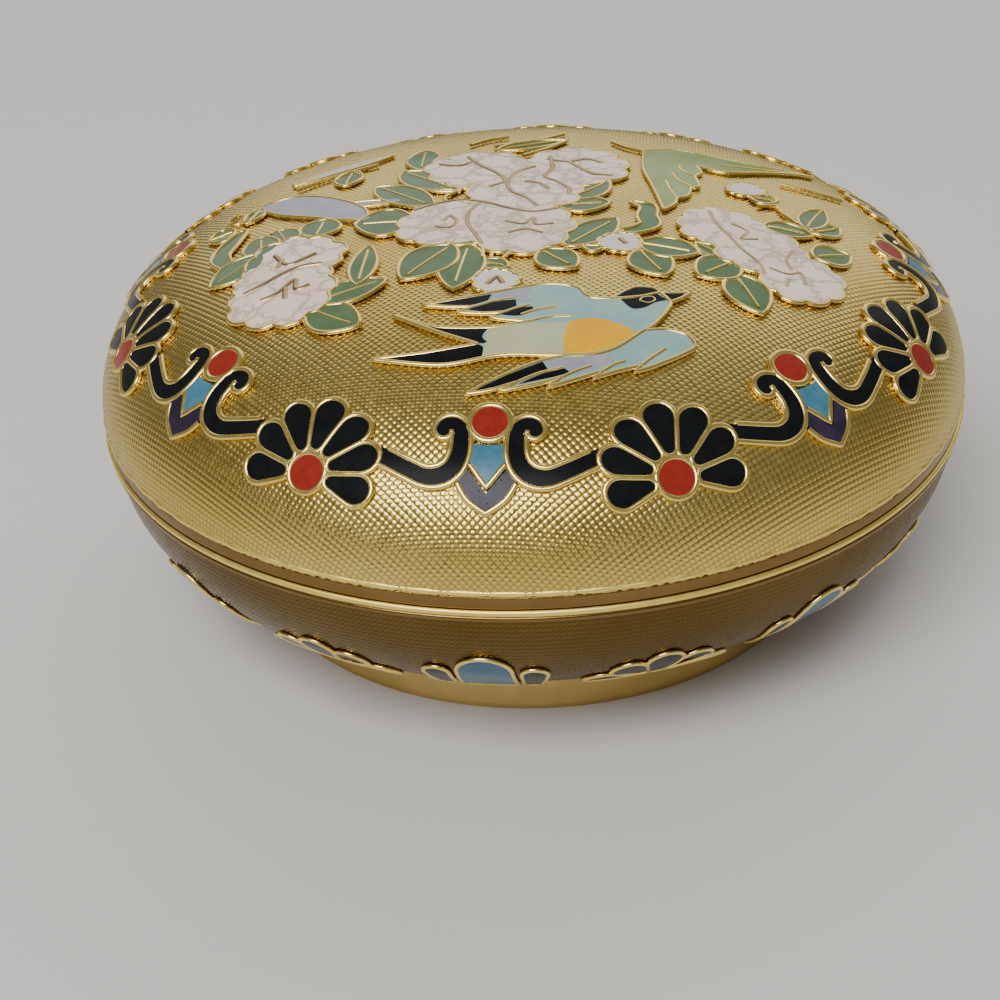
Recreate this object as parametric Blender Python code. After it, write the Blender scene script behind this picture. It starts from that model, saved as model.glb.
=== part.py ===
# Round footed trinket box in gilt brass, with a lift-off domed lid and raised enamel motifs.
# The box stands on its foot ring at the origin, +Z up. The first scroll motif of the lid's
# border faces -Y. Solids are in metres; motifs are drawn flat in millimetres, as seen from
# above the surface that they lie on, and then laid on that surface.

import math

import bmesh
import bpy
import numpy as np
from mathutils import Vector
from mathutils.geometry import delaunay_2d_cdt

MM = 0.001
SEGMENTS = 40               # facets round every turned face

# Lid
BODY_RADIUS = 55.0          # outer radius of the lid, the widest of the box
DOME_RISE = 24.0            # from the dome's springing to its top
DOME_SPRING_DROP = 0.8      # the dome springs this far under the seam, so its rim stands upright
DOME_FULLNESS = 3.0         # exponent on the radius: the broad, flat crown
DOME_SHOULDER = 2.54        # exponent on the height: the round shoulder
LID_WALL = 1.4
LID_BAND_HEIGHT = 1.9       # plain polished band above the seam
LID_BAND_PROUD = 0.15       # the textured ground starts this far inside the band

# Bowl
SEAM_HEIGHT = 26.2          # top of the bowl's rim
SEAM_GAP = 0.3
BOWL_BAND_HEIGHT = 1.3      # plain band under the seam
BOWL_BAND_PROUD = 0.9       # how far the band stands out from the bowl's side
BOWL_WALL = 1.5
BOWL_FULLNESS = 2.33        # exponent of the bowl's side: upright at the rim, flat at the foot
FOOT_HEIGHT = 5.2
FOOT_RADIUS = 37.0          # where the foot meets the bowl
FOOT_FLARE = 0.5            # the foot ring widens this much down to its underside
FOOT_WALL = 2.2
FLOOR_RECESS = 3.2          # the underside is sunk this far inside the foot ring

# Register flange, the upright ring inside the lid that keeps it in place
FLANGE_HEIGHT = 4.0         # above the seam
FLANGE_DEPTH = 2.6          # below the seam
FLANGE_WALL = 1.2
FLANGE_CLEARANCE = 0.4

# Raised motifs
LIFT_GAP = 0.3              # clearance between a motif's back and the metal under it
RELIEF = 0.45               # thickness of a motif
MOTIF_GAP = 0.3             # clearance between neighbouring motifs
GRID = 8.0                  # longest step inside a motif, so that it follows the curved metal

# Lid border, distances measured over the dome
REPEATS = 8
PALMETTE_FROM_SEAM = 13.0   # the palmette's red centre to the seam
SCROLL_FROM_SEAM = 21.0     # the scroll's red dot to the seam
PETALS = 7
PETAL_STEP = 32.5           # degrees from petal to petal
PETAL_REACH = 9.0           # tip of the middle petal from the palmette's centre, wire included
PETAL_SHRINK = 0.45         # each petal further out is this much shorter
PETAL_VALLEY = 0.80         # depth between two petals, as a share of their reach
PETAL_MIDDLE = 0.58         # where a petal's inner point lies, as a share of their reach
PETAL_CORNER = 0.24         # a petal's two corners lie this far either side of its tip, in steps
CORNER_REACH = 0.985        # and at this share of its reach
FOOT_ANGLES = (125.0, 180.0, 235.0)     # points of a fan's closed foot, from its middle petal
DOT_RADIUS = 2.0
DOT_RING = 0.8              # gilt ring round a red dot
ARM_HALF_WIDTH = 1.65
CHEVRON_DROP = 10.7         # tip of the chevron below the dot
CHEVRON_HALF_WIDTH = 3.4

# Bowl border, distances measured up the bowl's side from the foot
FAN_CENTRE = 9.8
FAN_REACH = 10.2            # tip of the middle petal from the fan's centre
FAN_PETALS = 5
FAN_STEP = 31.0             # degrees from petal to petal
FAN_FOOT = 2.8              # radius of the fan's closed foot
LOBE_BOTTOM = 11.0
LOBE_TOP = 21.8
LOBE_HALF_WIDTH = 3.6
LOBE_STEPS = 7              # sides of the half oval's arch

# The picture on the crown: its places are shares of PICTURE_UNITS, its own radius
PICTURE_MARGIN = 13.0       # from the box's outside to the picture
PICTURE_UNITS = 42.0

GILT = (0.72, 0.55, 0.24)
BLACK_ENAMEL = (0.012, 0.014, 0.016)
RED_ENAMEL = (0.55, 0.035, 0.02)
BLUE_ENAMEL = (0.16, 0.38, 0.60)
GREEN_ENAMEL = (0.07, 0.20, 0.08)
PINK_ENAMEL = (0.80, 0.66, 0.62)
WHITE_ENAMEL = (0.80, 0.77, 0.72)
TURQUOISE_ENAMEL = (0.28, 0.52, 0.55)
LAVENDER_ENAMEL = (0.36, 0.36, 0.44)
LEAF_GREEN_ENAMEL = (0.22, 0.36, 0.16)


# Materials

def material(name, colour, roughness, metallic):
    made = bpy.data.materials.new(name)
    made.use_nodes = True
    shader = made.node_tree.nodes["Principled BSDF"]
    shader.inputs["Base Color"].default_value = (*colour, 1.0)
    shader.inputs["Roughness"].default_value = roughness
    shader.inputs["Metallic"].default_value = metallic
    return made


def enamel(name, colour):
    return material(name, colour, roughness=0.15, metallic=0.0)


# Surfaces: heights over the distance from the axis

def dome_height(radius):
    share = min(abs(radius) / BODY_RADIUS, 1.0) ** DOME_FULLNESS
    spring = SEAM_HEIGHT - DOME_SPRING_DROP
    return spring + DOME_RISE * (1.0 - share) ** (1.0 / DOME_SHOULDER)


def bowl_rim_radius():
    return BODY_RADIUS - BOWL_BAND_PROUD


def bowl_height(radius):
    span = bowl_rim_radius() - FOOT_RADIUS
    share = min(max((radius - FOOT_RADIUS) / span, 0.0), 1.0)
    top = SEAM_HEIGHT - BOWL_BAND_HEIGHT
    return FOOT_HEIGHT + (top - FOOT_HEIGHT) * (1.0 - (1.0 - share) ** (1.0 / BOWL_FULLNESS))


def normal_at(height_of, radius, side):
    """Unit normal of a turned surface, as (outward, upward); side 1 faces up, -1 down."""
    step = 0.02
    slope = (height_of(radius + step) - height_of(radius - step)) / (2 * step)
    length = math.hypot(slope, 1.0)
    return -side * slope / length, side / length


def laid_on(height_of, side):
    """Return a function that puts a flat point on a surface, lifted off it, in metres."""
    def place(x, y, lift):
        radius = max(math.hypot(x, y), 1e-6)
        out, up = normal_at(height_of, radius, side)
        scale = (radius + out * lift) / radius
        return Vector((x * scale, y * scale, height_of(radius) + up * lift)) * MM
    return place


def radius_over_arc(height_of, start, end):
    """Return a function from the distance walked over a surface to the radius there."""
    turn = np.linspace(0.0, math.pi / 2, 600)
    radii = start + (end - start) * np.sin(turn)
    heights = np.array([height_of(radius) for radius in radii])
    steps = np.hypot(np.diff(radii), np.diff(heights))
    walked = np.concatenate([[0.0], np.cumsum(steps)])
    return lambda distance: float(np.interp(distance, walked, radii)), float(walked[-1])


# Turned solids

def new_object(name, mesh_builder, made_material):
    mesh = bpy.data.meshes.new(name)
    bmesh.ops.recalc_face_normals(mesh_builder, faces=mesh_builder.faces)
    mesh_builder.to_mesh(mesh)
    mesh_builder.free()
    mesh.materials.append(made_material)
    mesh.shade_smooth()
    mesh.set_sharp_from_angle(angle=math.radians(35))
    made = bpy.data.objects.new(name, mesh)
    bpy.context.collection.objects.link(made)
    return made


def turned(name, profile, made_material):
    """Turn a closed profile of (radius, height) points, in millimetres, about the Z axis."""
    builder = bmesh.new()
    points = [builder.verts.new((radius * MM, 0.0, height * MM)) for radius, height in profile]
    for first, second in zip(points, points[1:]):
        builder.edges.new((first, second))
    if profile[0][0] > 0.0:
        builder.edges.new((points[-1], points[0]))
    bmesh.ops.spin(
        builder,
        geom=builder.verts[:] + builder.edges[:],
        axis=(0.0, 0.0, 1.0),
        cent=(0.0, 0.0, 0.0),
        steps=SEGMENTS,
        angle=2 * math.pi,
    )
    bmesh.ops.remove_doubles(builder, verts=builder.verts, dist=1e-6)
    bmesh.ops.triangulate(builder, faces=builder.faces)
    return new_object(name, builder, made_material)


def dome_ring(turn, inset):
    """Point of the dome's profile; turn 0 is the top, and inset goes in along the normal."""
    radius = BODY_RADIUS * math.sin(turn) ** (2.0 / DOME_FULLNESS)
    if radius < 1e-6:
        return 0.0, dome_height(0.0) - inset
    out, up = normal_at(dome_height, radius, 1)
    return radius - out * inset, dome_height(radius) - up * inset


def lid_inner_radius(height):
    """Radius of the lid's inside at a height near its rim."""
    spring = SEAM_HEIGHT - DOME_SPRING_DROP
    share = ((height - spring) / DOME_RISE) ** DOME_SHOULDER
    return BODY_RADIUS * (1.0 - share) ** (1.0 / DOME_FULLNESS) - LID_WALL


def lid_profile():
    bottom = SEAM_HEIGHT + SEAM_GAP
    band_top = bottom + LID_BAND_HEIGHT
    outer_rings = 12
    inner_rings = 6
    outer = [dome_ring(math.pi / 2 * ring / outer_rings, 0.0) for ring in range(outer_rings)]
    inner = [dome_ring(math.pi / 2 * ring / inner_rings, LID_WALL) for ring in range(inner_rings)]
    outer = [point for point in outer if point[1] > band_top + 1.0]
    inner = [point for point in inner if point[1] > band_top + 1.0]
    rim = [
        (BODY_RADIUS - LID_BAND_PROUD, band_top),
        (BODY_RADIUS, band_top - LID_BAND_PROUD),
        (BODY_RADIUS, bottom),
        (BODY_RADIUS - LID_WALL, bottom),
    ]
    return outer + rim + inner[::-1]


def flange_outer_radius():
    return lid_inner_radius(SEAM_HEIGHT + FLANGE_HEIGHT) - FLANGE_CLEARANCE


def bowl_profile():
    rim_radius = bowl_rim_radius()
    band_bottom = SEAM_HEIGHT - BOWL_BAND_HEIGHT
    flange_outer = flange_outer_radius()
    flange_inner = flange_outer - FLANGE_WALL
    flange_top = SEAM_HEIGHT + FLANGE_HEIGHT
    floor_top = FLOOR_RECESS + BOWL_WALL
    foot_inner = FOOT_RADIUS + FOOT_FLARE - FOOT_WALL
    side_steps = 6
    span = rim_radius - FOOT_RADIUS
    shares = [1.0 - (1.0 - step / side_steps) ** 1.6 for step in range(side_steps)]
    outside = [(FOOT_RADIUS + span * share, bowl_height(FOOT_RADIUS + span * share))
               for share in shares]
    inside = []
    for radius, height in outside:
        out, up = normal_at(bowl_height, max(radius, FOOT_RADIUS + 0.1), -1)
        inner_height = height - up * BOWL_WALL
        if inner_height < SEAM_HEIGHT - FLANGE_DEPTH - 1.0:
            inside.append((radius - out * BOWL_WALL, inner_height))
    floor_edge = inside[0][0] - (inside[0][1] - floor_top) * 2.0
    return (
        [(0.0, floor_top), (floor_edge, floor_top)]
        + inside
        + [
            (rim_radius - BOWL_WALL, SEAM_HEIGHT - FLANGE_DEPTH - 0.7),
            (flange_inner, SEAM_HEIGHT - FLANGE_DEPTH),
            (flange_inner, flange_top),
            (flange_outer, flange_top),
            (flange_outer, SEAM_HEIGHT),
            (BODY_RADIUS, SEAM_HEIGHT),
            (BODY_RADIUS, band_bottom + 0.2),
            (rim_radius, band_bottom),
        ]
        + outside[::-1]
        + [
            (FOOT_RADIUS + FOOT_FLARE, 0.0),
            (foot_inner, 0.0),
            (foot_inner, FLOOR_RECESS),
            (0.0, FLOOR_RECESS),
        ]
    )


# Flat outlines

def disc(x, y, radius, count=8):
    turns = [2 * math.pi * (index + 0.5) / count for index in range(count)]
    return [(x + radius * math.cos(turn), y + radius * math.sin(turn)) for turn in turns]


def smooth_path(points, steps):
    """Points of a smooth curve through the given ones."""
    padded = [points[0], *points, points[-1]]
    path = []
    for a, b, c, d in zip(padded, padded[1:], padded[2:], padded[3:]):
        for index in range(steps):
            t = index / steps
            path.append(tuple(
                0.5 * (2 * b[k] + (c[k] - a[k]) * t
                       + (2 * a[k] - 5 * b[k] + 4 * c[k] - d[k]) * t ** 2
                       + (3 * b[k] - a[k] - 3 * c[k] + d[k]) * t ** 3)
                for k in range(len(b))))
    path.append(tuple(points[-1]))
    return path


def ribbon(points, steps=2):
    """Outline of a stroke along (x, y, half width) points, its ends blunt."""
    path = smooth_path(points, steps)
    left = []
    right = []
    for index, (x, y, half) in enumerate(path):
        before = path[max(index - 1, 0)]
        after = path[min(index + 1, len(path) - 1)]
        along = math.hypot(after[0] - before[0], after[1] - before[1])
        side_x = -(after[1] - before[1]) / along
        side_y = (after[0] - before[0]) / along
        left.append((x + side_x * half, y + side_y * half))
        right.append((x - side_x * half, y - side_y * half))
    return left + right[::-1]


def leaf(base_x, base_y, tip_x, tip_y, width, bend=0.0):
    """A leaf pointed at both ends; bend bows its middle sideways."""
    along_x = tip_x - base_x
    along_y = tip_y - base_y
    length = math.hypot(along_x, along_y)
    side_x = -along_y / length
    side_y = along_x / length
    shares = (0.0, 0.22, 0.5, 0.78, 1.0)
    outline = []
    for side, run in ((1, shares), (-1, shares[-2:0:-1])):
        for share in run:
            bow = bend * 4 * share * (1 - share)
            off = bow + side * width / 2 * math.sin(math.pi * share) ** 0.8
            outline.append((base_x + along_x * share + side_x * off,
                            base_y + along_y * share + side_y * off))
    return outline


def blossom(x, y, radius, lobes=7, depth=0.13, turn=0.0):
    """A full flower head with a waved edge."""
    outline = []
    for index in range(lobes * 2):
        angle = math.pi * index / lobes + turn
        reach = radius * (1.0 if index % 2 else 1.0 - depth)
        outline.append((x + reach * math.cos(angle), y + reach * math.sin(angle)))
    return outline


def fan(reach, petals, step, foot_radius, shrink):
    """A palmette: petals about the downward axis -v, closed round its foot."""
    outline = []
    last = (petals - 1) / 2
    for index in range(petals):
        rank = index - last
        tip = reach - shrink * abs(rank)
        corner = CORNER_REACH * tip
        for aside in (-PETAL_CORNER, PETAL_CORNER):
            angle = math.radians((rank + aside) * step)
            outline.append((corner * math.sin(angle), -corner * math.cos(angle)))
        if rank < last:
            angle = math.radians((rank + 0.5) * step)
            valley = PETAL_VALLEY * tip
            outline.append((valley * math.sin(angle), -valley * math.cos(angle)))
    for degrees in FOOT_ANGLES:
        angle = math.radians(degrees)
        outline.append((foot_radius * math.sin(angle), -foot_radius * math.cos(angle)))
    return outline


def fan_seeds(reach, petals, step):
    """Points inside a palmette, one to a petal, that carry it over the curved metal."""
    angles = [math.radians((index - (petals - 1) / 2) * step) for index in range(petals)]
    middle = reach * PETAL_MIDDLE
    return [(middle * math.sin(angle), -middle * math.cos(angle)) for angle in angles]


# Relief solids

def inside(point, loop):
    x, y = point
    odd = False
    for (ax, ay), (bx, by) in zip(loop, loop[1:] + loop[:1]):
        if (ay > y) != (by > y) and x < (bx - ax) * (y - ay) / (by - ay) + ax:
            odd = not odd
    return odd


def fill(loose, segments, shapes, cuts):
    """Triangles of the region that the shapes cover and the cuts leave."""
    vectors = [Vector(point) for point in loose]
    points, _, faces, _, _, _ = delaunay_2d_cdt(vectors, segments, [], 0, 1e-5)
    kept = []
    for face in faces:
        middle = sum((points[index] for index in face), Vector((0.0, 0.0))) / len(face)
        if any(inside(middle, loop) for loop in shapes) and not any(
                inside(middle, loop) for loop in cuts):
            kept.append(tuple(face))
    return points, kept


def largest_part(faces):
    """Of the triangles, those joined side to side to the largest patch; slivers fall away."""
    by_pair = {}
    for number, face in enumerate(faces):
        for pair in zip(face, face[1:] + face[:1]):
            by_pair.setdefault(tuple(sorted(pair)), []).append(number)
    joined = {number: set() for number in range(len(faces))}
    for numbers in by_pair.values():
        if len(numbers) == 2:
            joined[numbers[0]].add(numbers[1])
            joined[numbers[1]].add(numbers[0])
    best = []
    left = set(joined)
    while left:
        waiting = [left.pop()]
        patch = list(waiting)
        while waiting:
            for number in joined[waiting.pop()] & left:
                left.discard(number)
                patch.append(number)
                waiting.append(number)
        if len(patch) > len(best):
            best = patch
    return [faces[number] for number in sorted(best)]


def region_outline(shapes, cuts):
    """Boundary of the region that the shapes cover and the cuts leave, as points and pairs."""
    loose = []
    segments = []
    for loop in [*shapes, *cuts]:
        start = len(loose)
        loose.extend(loop)
        segments.extend((start + index, start + (index + 1) % len(loop))
                        for index in range(len(loop)))
    points, faces = fill(loose, segments, shapes, cuts)
    faces = largest_part(faces)
    uses = {}
    for face in faces:
        for pair in zip(face, face[1:] + face[:1]):
            key = tuple(sorted(pair))
            uses[key] = uses.get(key, 0) + 1
    return points, [pair for pair, count in uses.items() if count == 1]


def relief(name, shapes, surface, made_material, cuts=(), inner=()):
    """Close a raised motif over the union of its shapes, on a curved surface."""
    points, rim = region_outline(shapes, cuts)
    used = sorted({index for pair in rim for index in pair})
    renumbered = {old: new for new, old in enumerate(used)}
    loose = [tuple(points[index]) for index in used]
    segments = [(renumbered[a], renumbered[b]) for a, b in rim]
    xs = [x for x, _ in loose]
    ys = [y for _, y in loose]
    seeds = list(inner)
    if not inner:
        columns = int((max(xs) - min(xs)) / GRID) + 1
        rows = int((max(ys) - min(ys)) / GRID) + 1
        for column in range(columns):
            for row in range(rows):
                seeds.append((min(xs) + (column + 0.5) * (max(xs) - min(xs)) / columns,
                              min(ys) + (row + 0.5) * (max(ys) - min(ys)) / rows))
    edge_clear = 1.1
    for seed in seeds:
        covered = any(inside(seed, loop) for loop in shapes)
        cut = any(inside(seed, loop) for loop in cuts)
        near = min(math.hypot(seed[0] - x, seed[1] - y) for x, y in loose)
        if covered and not cut and near > edge_clear:
            loose.append(seed)
    flat, faces = fill(loose, segments, shapes, cuts)
    faces = largest_part(faces)

    builder = bmesh.new()
    top = [builder.verts.new(surface(x, y, LIFT_GAP + RELIEF)) for x, y in flat]
    back = [builder.verts.new(surface(x, y, LIFT_GAP)) for x, y in flat]
    uses = {}
    for face in faces:
        builder.faces.new([top[index] for index in face])
        builder.faces.new([back[index] for index in reversed(face)])
        for pair in zip(face, face[1:] + face[:1]):
            key = tuple(sorted(pair))
            uses.setdefault(key, []).append(pair)
    for pairs in uses.values():
        if len(pairs) == 1:
            first, second = pairs[0]
            builder.faces.new((top[second], top[first], back[first], back[second]))
    loose_ends = [vert for vert in builder.verts if not vert.link_faces]
    bmesh.ops.delete(builder, geom=loose_ends, context="VERTS")
    bmesh.ops.triangulate(builder, faces=builder.faces)
    return new_object(name, builder, made_material)


def grown(loop, by):
    """A loop moved outwards by a clearance, square to its sides."""
    area = sum(ax * by_ - bx * ay for (ax, ay), (bx, by_) in zip(loop, loop[1:] + loop[:1]))
    side = 1.0 if area > 0 else -1.0
    moved = []
    for before, here, after in zip(loop[-1:] + loop[:-1], loop, loop[1:] + loop[:1]):
        outward = Vector((0.0, 0.0))
        for start, end in ((before, here), (here, after)):
            edge = Vector((end[1] - start[1], start[0] - end[0])) * side
            if edge.length > 1e-9:
                outward += edge.normalized()
        half = max(outward.length / 2, 0.5)
        step = outward.normalized() * (by / half)
        moved.append((here[0] + step.x, here[1] + step.y))
    return moved


# Lid border

def lid_border(face):
    radius_at, whole = radius_over_arc(dome_height, 0.0, BODY_RADIUS)
    to_seam = whole - DOME_SPRING_DROP
    palmette_arc = to_seam - PALMETTE_FROM_SEAM
    scroll_arc = to_seam - SCROLL_FROM_SEAM
    half_turn = math.pi / REPEATS
    black = enamel("black_enamel", BLACK_ENAMEL)
    red = enamel("red_enamel", RED_ENAMEL)

    def placed(loop, turn, arc):
        out = []
        for u, v in loop:
            radius = radius_at(arc + v)
            angle = turn + u / radius
            out.append((radius * math.sin(angle), -radius * math.cos(angle)))
        return out

    petals = fan(PETAL_REACH, PETALS, PETAL_STEP, DOT_RADIUS + DOT_RING, PETAL_SHRINK)
    petal_seeds = fan_seeds(PETAL_REACH, PETALS, PETAL_STEP)
    last = (PETALS - 1) / 2

    # The arm runs from its curl beside the dot, past the shield, to the next palmette.
    join = half_turn * radius_at(palmette_arc) - (PETAL_REACH - PETAL_SHRINK * last) + 0.9
    join_drop = palmette_arc - scroll_arc - 3.0
    arm = [
        (4.6, 1.3, ARM_HALF_WIDTH * 0.85),
        (2.9, 1.9, ARM_HALF_WIDTH),
        (2.9, 4.0, ARM_HALF_WIDTH),
        (4.6, 6.0, ARM_HALF_WIDTH),
        (join * 0.72, 6.1, ARM_HALF_WIDTH * 0.95),
        (join, join_drop, ARM_HALF_WIDTH * 0.85),
    ]
    right_arm = ribbon(arm, steps=1)
    left_arm = [(-u, v) for u, v in right_arm]
    chevron = [
        (-DOT_RADIUS, 1.0),
        (DOT_RADIUS, 1.0),
        (CHEVRON_HALF_WIDTH, CHEVRON_DROP - 4.2),
        (0.0, CHEVRON_DROP),
        (-CHEVRON_HALF_WIDTH, CHEVRON_DROP - 4.2),
    ]
    ring = disc(0.0, 0.0, DOT_RADIUS + DOT_RING)
    dot = disc(0.0, 0.0, DOT_RADIUS)
    dot_hole = disc(0.0, 0.0, DOT_RADIUS + MOTIF_GAP)

    shapes = []
    holes = []
    seeds = []
    for index in range(REPEATS):
        turn = 2 * half_turn * index
        shapes += [placed(loop, turn, scroll_arc) for loop in (right_arm, left_arm, chevron, ring)]
        seeds += placed([(0.0, 5.0)], turn, scroll_arc)
        holes.append(placed(dot_hole, turn, scroll_arc))
        relief(f"lid_scroll_dot_{index + 1}", [placed(dot, turn, scroll_arc)], face, red)
        turn += half_turn
        shapes.append(placed(petals, turn, palmette_arc))
        seeds += placed(petal_seeds, turn, palmette_arc)
        holes.append(placed(dot_hole, turn, palmette_arc))
        relief(f"lid_palmette_dot_{index + 1}", [placed(dot, turn, palmette_arc)], face, red)
    relief("lid_border", shapes, face, black, cuts=holes, inner=seeds)


# Bowl border, the same fans opening upwards, with a half oval between two of them

def bowl_border(face):
    radius_at, _ = radius_over_arc(bowl_height, FOOT_RADIUS, bowl_rim_radius())
    half_turn = math.pi / REPEATS
    black = bpy.data.materials["black_enamel"]
    blue = enamel("blue_enamel", BLUE_ENAMEL)

    def placed(loop, turn):
        out = []
        for u, v in loop:
            radius = radius_at(v)
            angle = turn + u / radius
            out.append((radius * math.sin(angle), -radius * math.cos(angle)))
        return out

    petals = [(u, FAN_CENTRE - v)
              for u, v in fan(FAN_REACH, FAN_PETALS, FAN_STEP, FAN_FOOT, PETAL_SHRINK)]
    petal_seeds = [(u, FAN_CENTRE - v) for u, v in fan_seeds(FAN_REACH, FAN_PETALS, FAN_STEP)]
    petal_seeds.append((0.0, FAN_CENTRE))
    lobe_height = LOBE_TOP - LOBE_BOTTOM
    turns = [math.pi * step / LOBE_STEPS for step in range(LOBE_STEPS + 1)]
    lobe = [(LOBE_HALF_WIDTH * math.cos(turn), LOBE_BOTTOM + lobe_height * math.sin(turn))
            for turn in turns]
    lobe_seeds = [(0.0, LOBE_BOTTOM + lobe_height * share) for share in (0.25, 0.5, 0.75)]
    for index in range(REPEATS):
        turn = 2 * half_turn * index
        relief(f"bowl_lobe_{index + 1}", [placed(lobe, turn)], face, blue,
               inner=placed(lobe_seeds, turn))
        turn += half_turn
        relief(f"bowl_palmette_{index + 1}", [placed(petals, turn)], face, black,
               inner=placed(petal_seeds, turn))


# Picture on the crown, seen from above; x to the right, y away from the front

def picture(face):
    unit = (BODY_RADIUS - PICTURE_MARGIN) / PICTURE_UNITS

    def scaled(loops):
        return [[(x * unit, y * unit) for x, y in loop] for loop in loops]

    flowers = {
        "peony_left": [
            blossom(-26.4, -14.4, 5.7),
            blossom(-26.3, -21.8, 6.2, turn=0.3),
            blossom(-29.6, -17.6, 3.4),
        ],
        "peony_centre": [
            blossom(-7.5, 12.5, 6.4),
            blossom(5.0, 13.0, 7.0, turn=0.2),
            blossom(-0.5, 3.2, 6.8, turn=0.1),
            blossom(-8.6, -6.5, 6.0),
            blossom(-0.5, -7.9, 6.6, turn=0.25),
        ],
        "peony_right": [
            blossom(24.3, -5.6, 4.9),
            blossom(28.8, -10.6, 5.2, turn=0.2),
            blossom(33.0, -15.2, 4.8, turn=0.1),
        ],
    }
    buds = {
        "bud_front": [disc(-1.6, -21.6, 2.5)],
        "bud_middle": [disc(12.3, -12.2, 2.1)],
        "bud_right": [disc(27.2, 7.6, 2.0)],
    }
    leaves = {
        "leaves_left_upper": [
            leaf(-30.2, -11.8, -31.0, -4.4, 6.6, bend=-0.2),
            leaf(-29.4, -12.6, -36.9, -14.9, 6.6),
            leaf(-25.6, -10.2, -25.2, -4.2, 5.8),
        ],
        "leaves_left_lower": [
            leaf(-17.8, -22.0, -17.6, -12.6, 3.0),
            leaf(-22.3, -24.6, -14.4, -21.4, 5.0),
            leaf(-22.0, -24.4, -15.9, -30.8, 5.8, bend=0.3),
        ],
        "leaves_centre_left": [
            leaf(-15.4, 21.0, -14.6, 9.0, 4.2),
            leaf(-17.2, 11.5, -8.8, 4.2, 6.0),
            leaf(-19.8, 7.3, -12.4, -2.2, 6.2),
            leaf(-11.5, -4.6, -21.2, -5.2, 8.6),
        ],
        "leaves_centre_below": [
            leaf(-9.2, -11.5, -10.6, -23.2, 5.6, bend=-0.6),
            leaf(-6.0, -12.0, -5.8, -24.6, 5.0),
            disc(-2.2, -18.3, 1.9),
        ],
        "leaves_centre_right": [
            leaf(6.0, 1.6, 9.8, 8.2, 4.6, bend=-0.6),
            leaf(3.6, 0.2, 10.2, 0.6, 5.6),
        ],
        "leaves_middle_curl": [
            leaf(6.4, -13.2, 11.3, -4.2, 5.6, bend=-0.3),
            ribbon([(13.6, 1.2, 0.5), (15.4, -1.4, 1.4), (15.2, -4.4, 1.4), (12.2, -7.2, 1.3)]),
        ],
        "leaf_centre_low": [leaf(3.8, -13.6, 6.4, -19.0, 5.2, bend=-0.4)],
        "leaves_middle_right": [
            leaf(14.0, -11.2, 21.4, -13.2, 5.6, bend=0.7),
            leaf(13.2, -12.4, 17.2, -19.0, 5.6, bend=-0.3),
        ],
        "leaves_right_lower": [
            leaf(21.6, -9.8, 22.6, -18.8, 5.8, bend=1.2),
            leaf(25.2, -15.8, 28.6, -23.8, 5.6, bend=0.4),
        ],
        "leaves_right_upper": [
            leaf(29.2, -2.6, 35.2, -5.0, 5.0),
            leaf(33.6, -4.0, 37.2, 5.6, 3.4),
            leaf(34.4, -5.0, 38.6, 0.6, 3.2),
        ],
        "leaf_right_side": [leaf(35.8, -12.0, 38.8, -5.4, 5.4, bend=-0.3)],
        "leaves_far_left": [
            leaf(-36.2, -0.8, -39.4, 7.6, 3.6),
            leaf(-35.6, -0.8, -35.6, 8.0, 3.4),
            leaf(-37.0, -6.0, -37.6, 2.0, 5.0),
            ribbon([(-37.4, -4.6, 1.2), (-36.9, -8.6, 1.2), (-34.9, -12.2, 1.0)]),
        ],
        "leaf_back_left": [leaf(-24.2, 8.6, -24.0, 15.4, 4.2)],
        "leaves_back": [
            leaf(-8.0, 23.6, 2.0, 27.6, 5.0),
            leaf(1.0, 26.0, 8.0, 23.6, 4.0),
        ],
    }
    birds = {
        "bird_front": [
            ribbon([(-4.0, -34.0, 1.4), (3.0, -33.0, 2.5), (9.0, -31.4, 3.4),
                    (13.2, -28.6, 3.3), (15.6, -25.2, 2.6)]),
            [(16.0, -22.8), (20.8, -22.6), (17.0, -26.0)],
            disc(15.2, -25.0, 2.6),
            ribbon([(-2.4, -32.6, 1.6), (-7.0, -31.2, 1.2), (-12.6, -28.4, 0.4)]),
            ribbon([(-2.4, -35.2, 1.4), (-8.0, -36.2, 1.2), (-14.4, -35.8, 0.4)]),
            ribbon([(8.6, -26.6, 3.0), (3.0, -26.2, 3.2), (-3.0, -26.8, 1.9), (-9.2, -26.9, 0.5)]),
            ribbon([(20.4, -31.6, 1.6), (15.6, -33.6, 2.6), (9.4, -36.6, 2.3),
                    (3.4, -39.2, 1.5), (-3.2, -41.4, 0.4)]),
        ],
        "bird_left": [
            ribbon([(-34.6, 6.6, 1.8), (-30.0, 3.8, 2.9), (-25.0, 0.6, 2.9), (-21.9, -2.4, 1.6)]),
        ],
        "wing_left": [ribbon([(-31.6, 13.8, 0.6), (-26.4, 16.8, 1.5), (-20.8, 19.8, 0.6)])],
        "bird_back": [
            ribbon([(17.4, 17.4, 3.4), (17.4, 10.0, 2.9), (18.0, 3.6, 1.9), (18.0, -2.2, 0.5)]),
            ribbon([(16.0, 17.6, 3.2), (23.0, 18.8, 3.6), (29.6, 17.6, 2.6), (33.8, 19.6, 0.8)]),
        ],
    }
    pink = enamel("pink_enamel", PINK_ENAMEL)
    white = enamel("white_enamel", WHITE_ENAMEL)
    green = enamel("green_enamel", GREEN_ENAMEL)
    bird_finish = {
        "bird_front": enamel("turquoise_enamel", TURQUOISE_ENAMEL),
        "bird_left": enamel("lavender_enamel", LAVENDER_ENAMEL),
        "wing_left": white,
        "bird_back": enamel("leaf_green_enamel", LEAF_GREEN_ENAMEL),
    }
    finishes = {name: pink for name in flowers}
    finishes.update({name: white for name in buds})
    finishes.update({name: green for name in leaves})
    finishes.update(bird_finish)
    placed = []
    for name, loops in (birds | flowers | buds | leaves).items():
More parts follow.
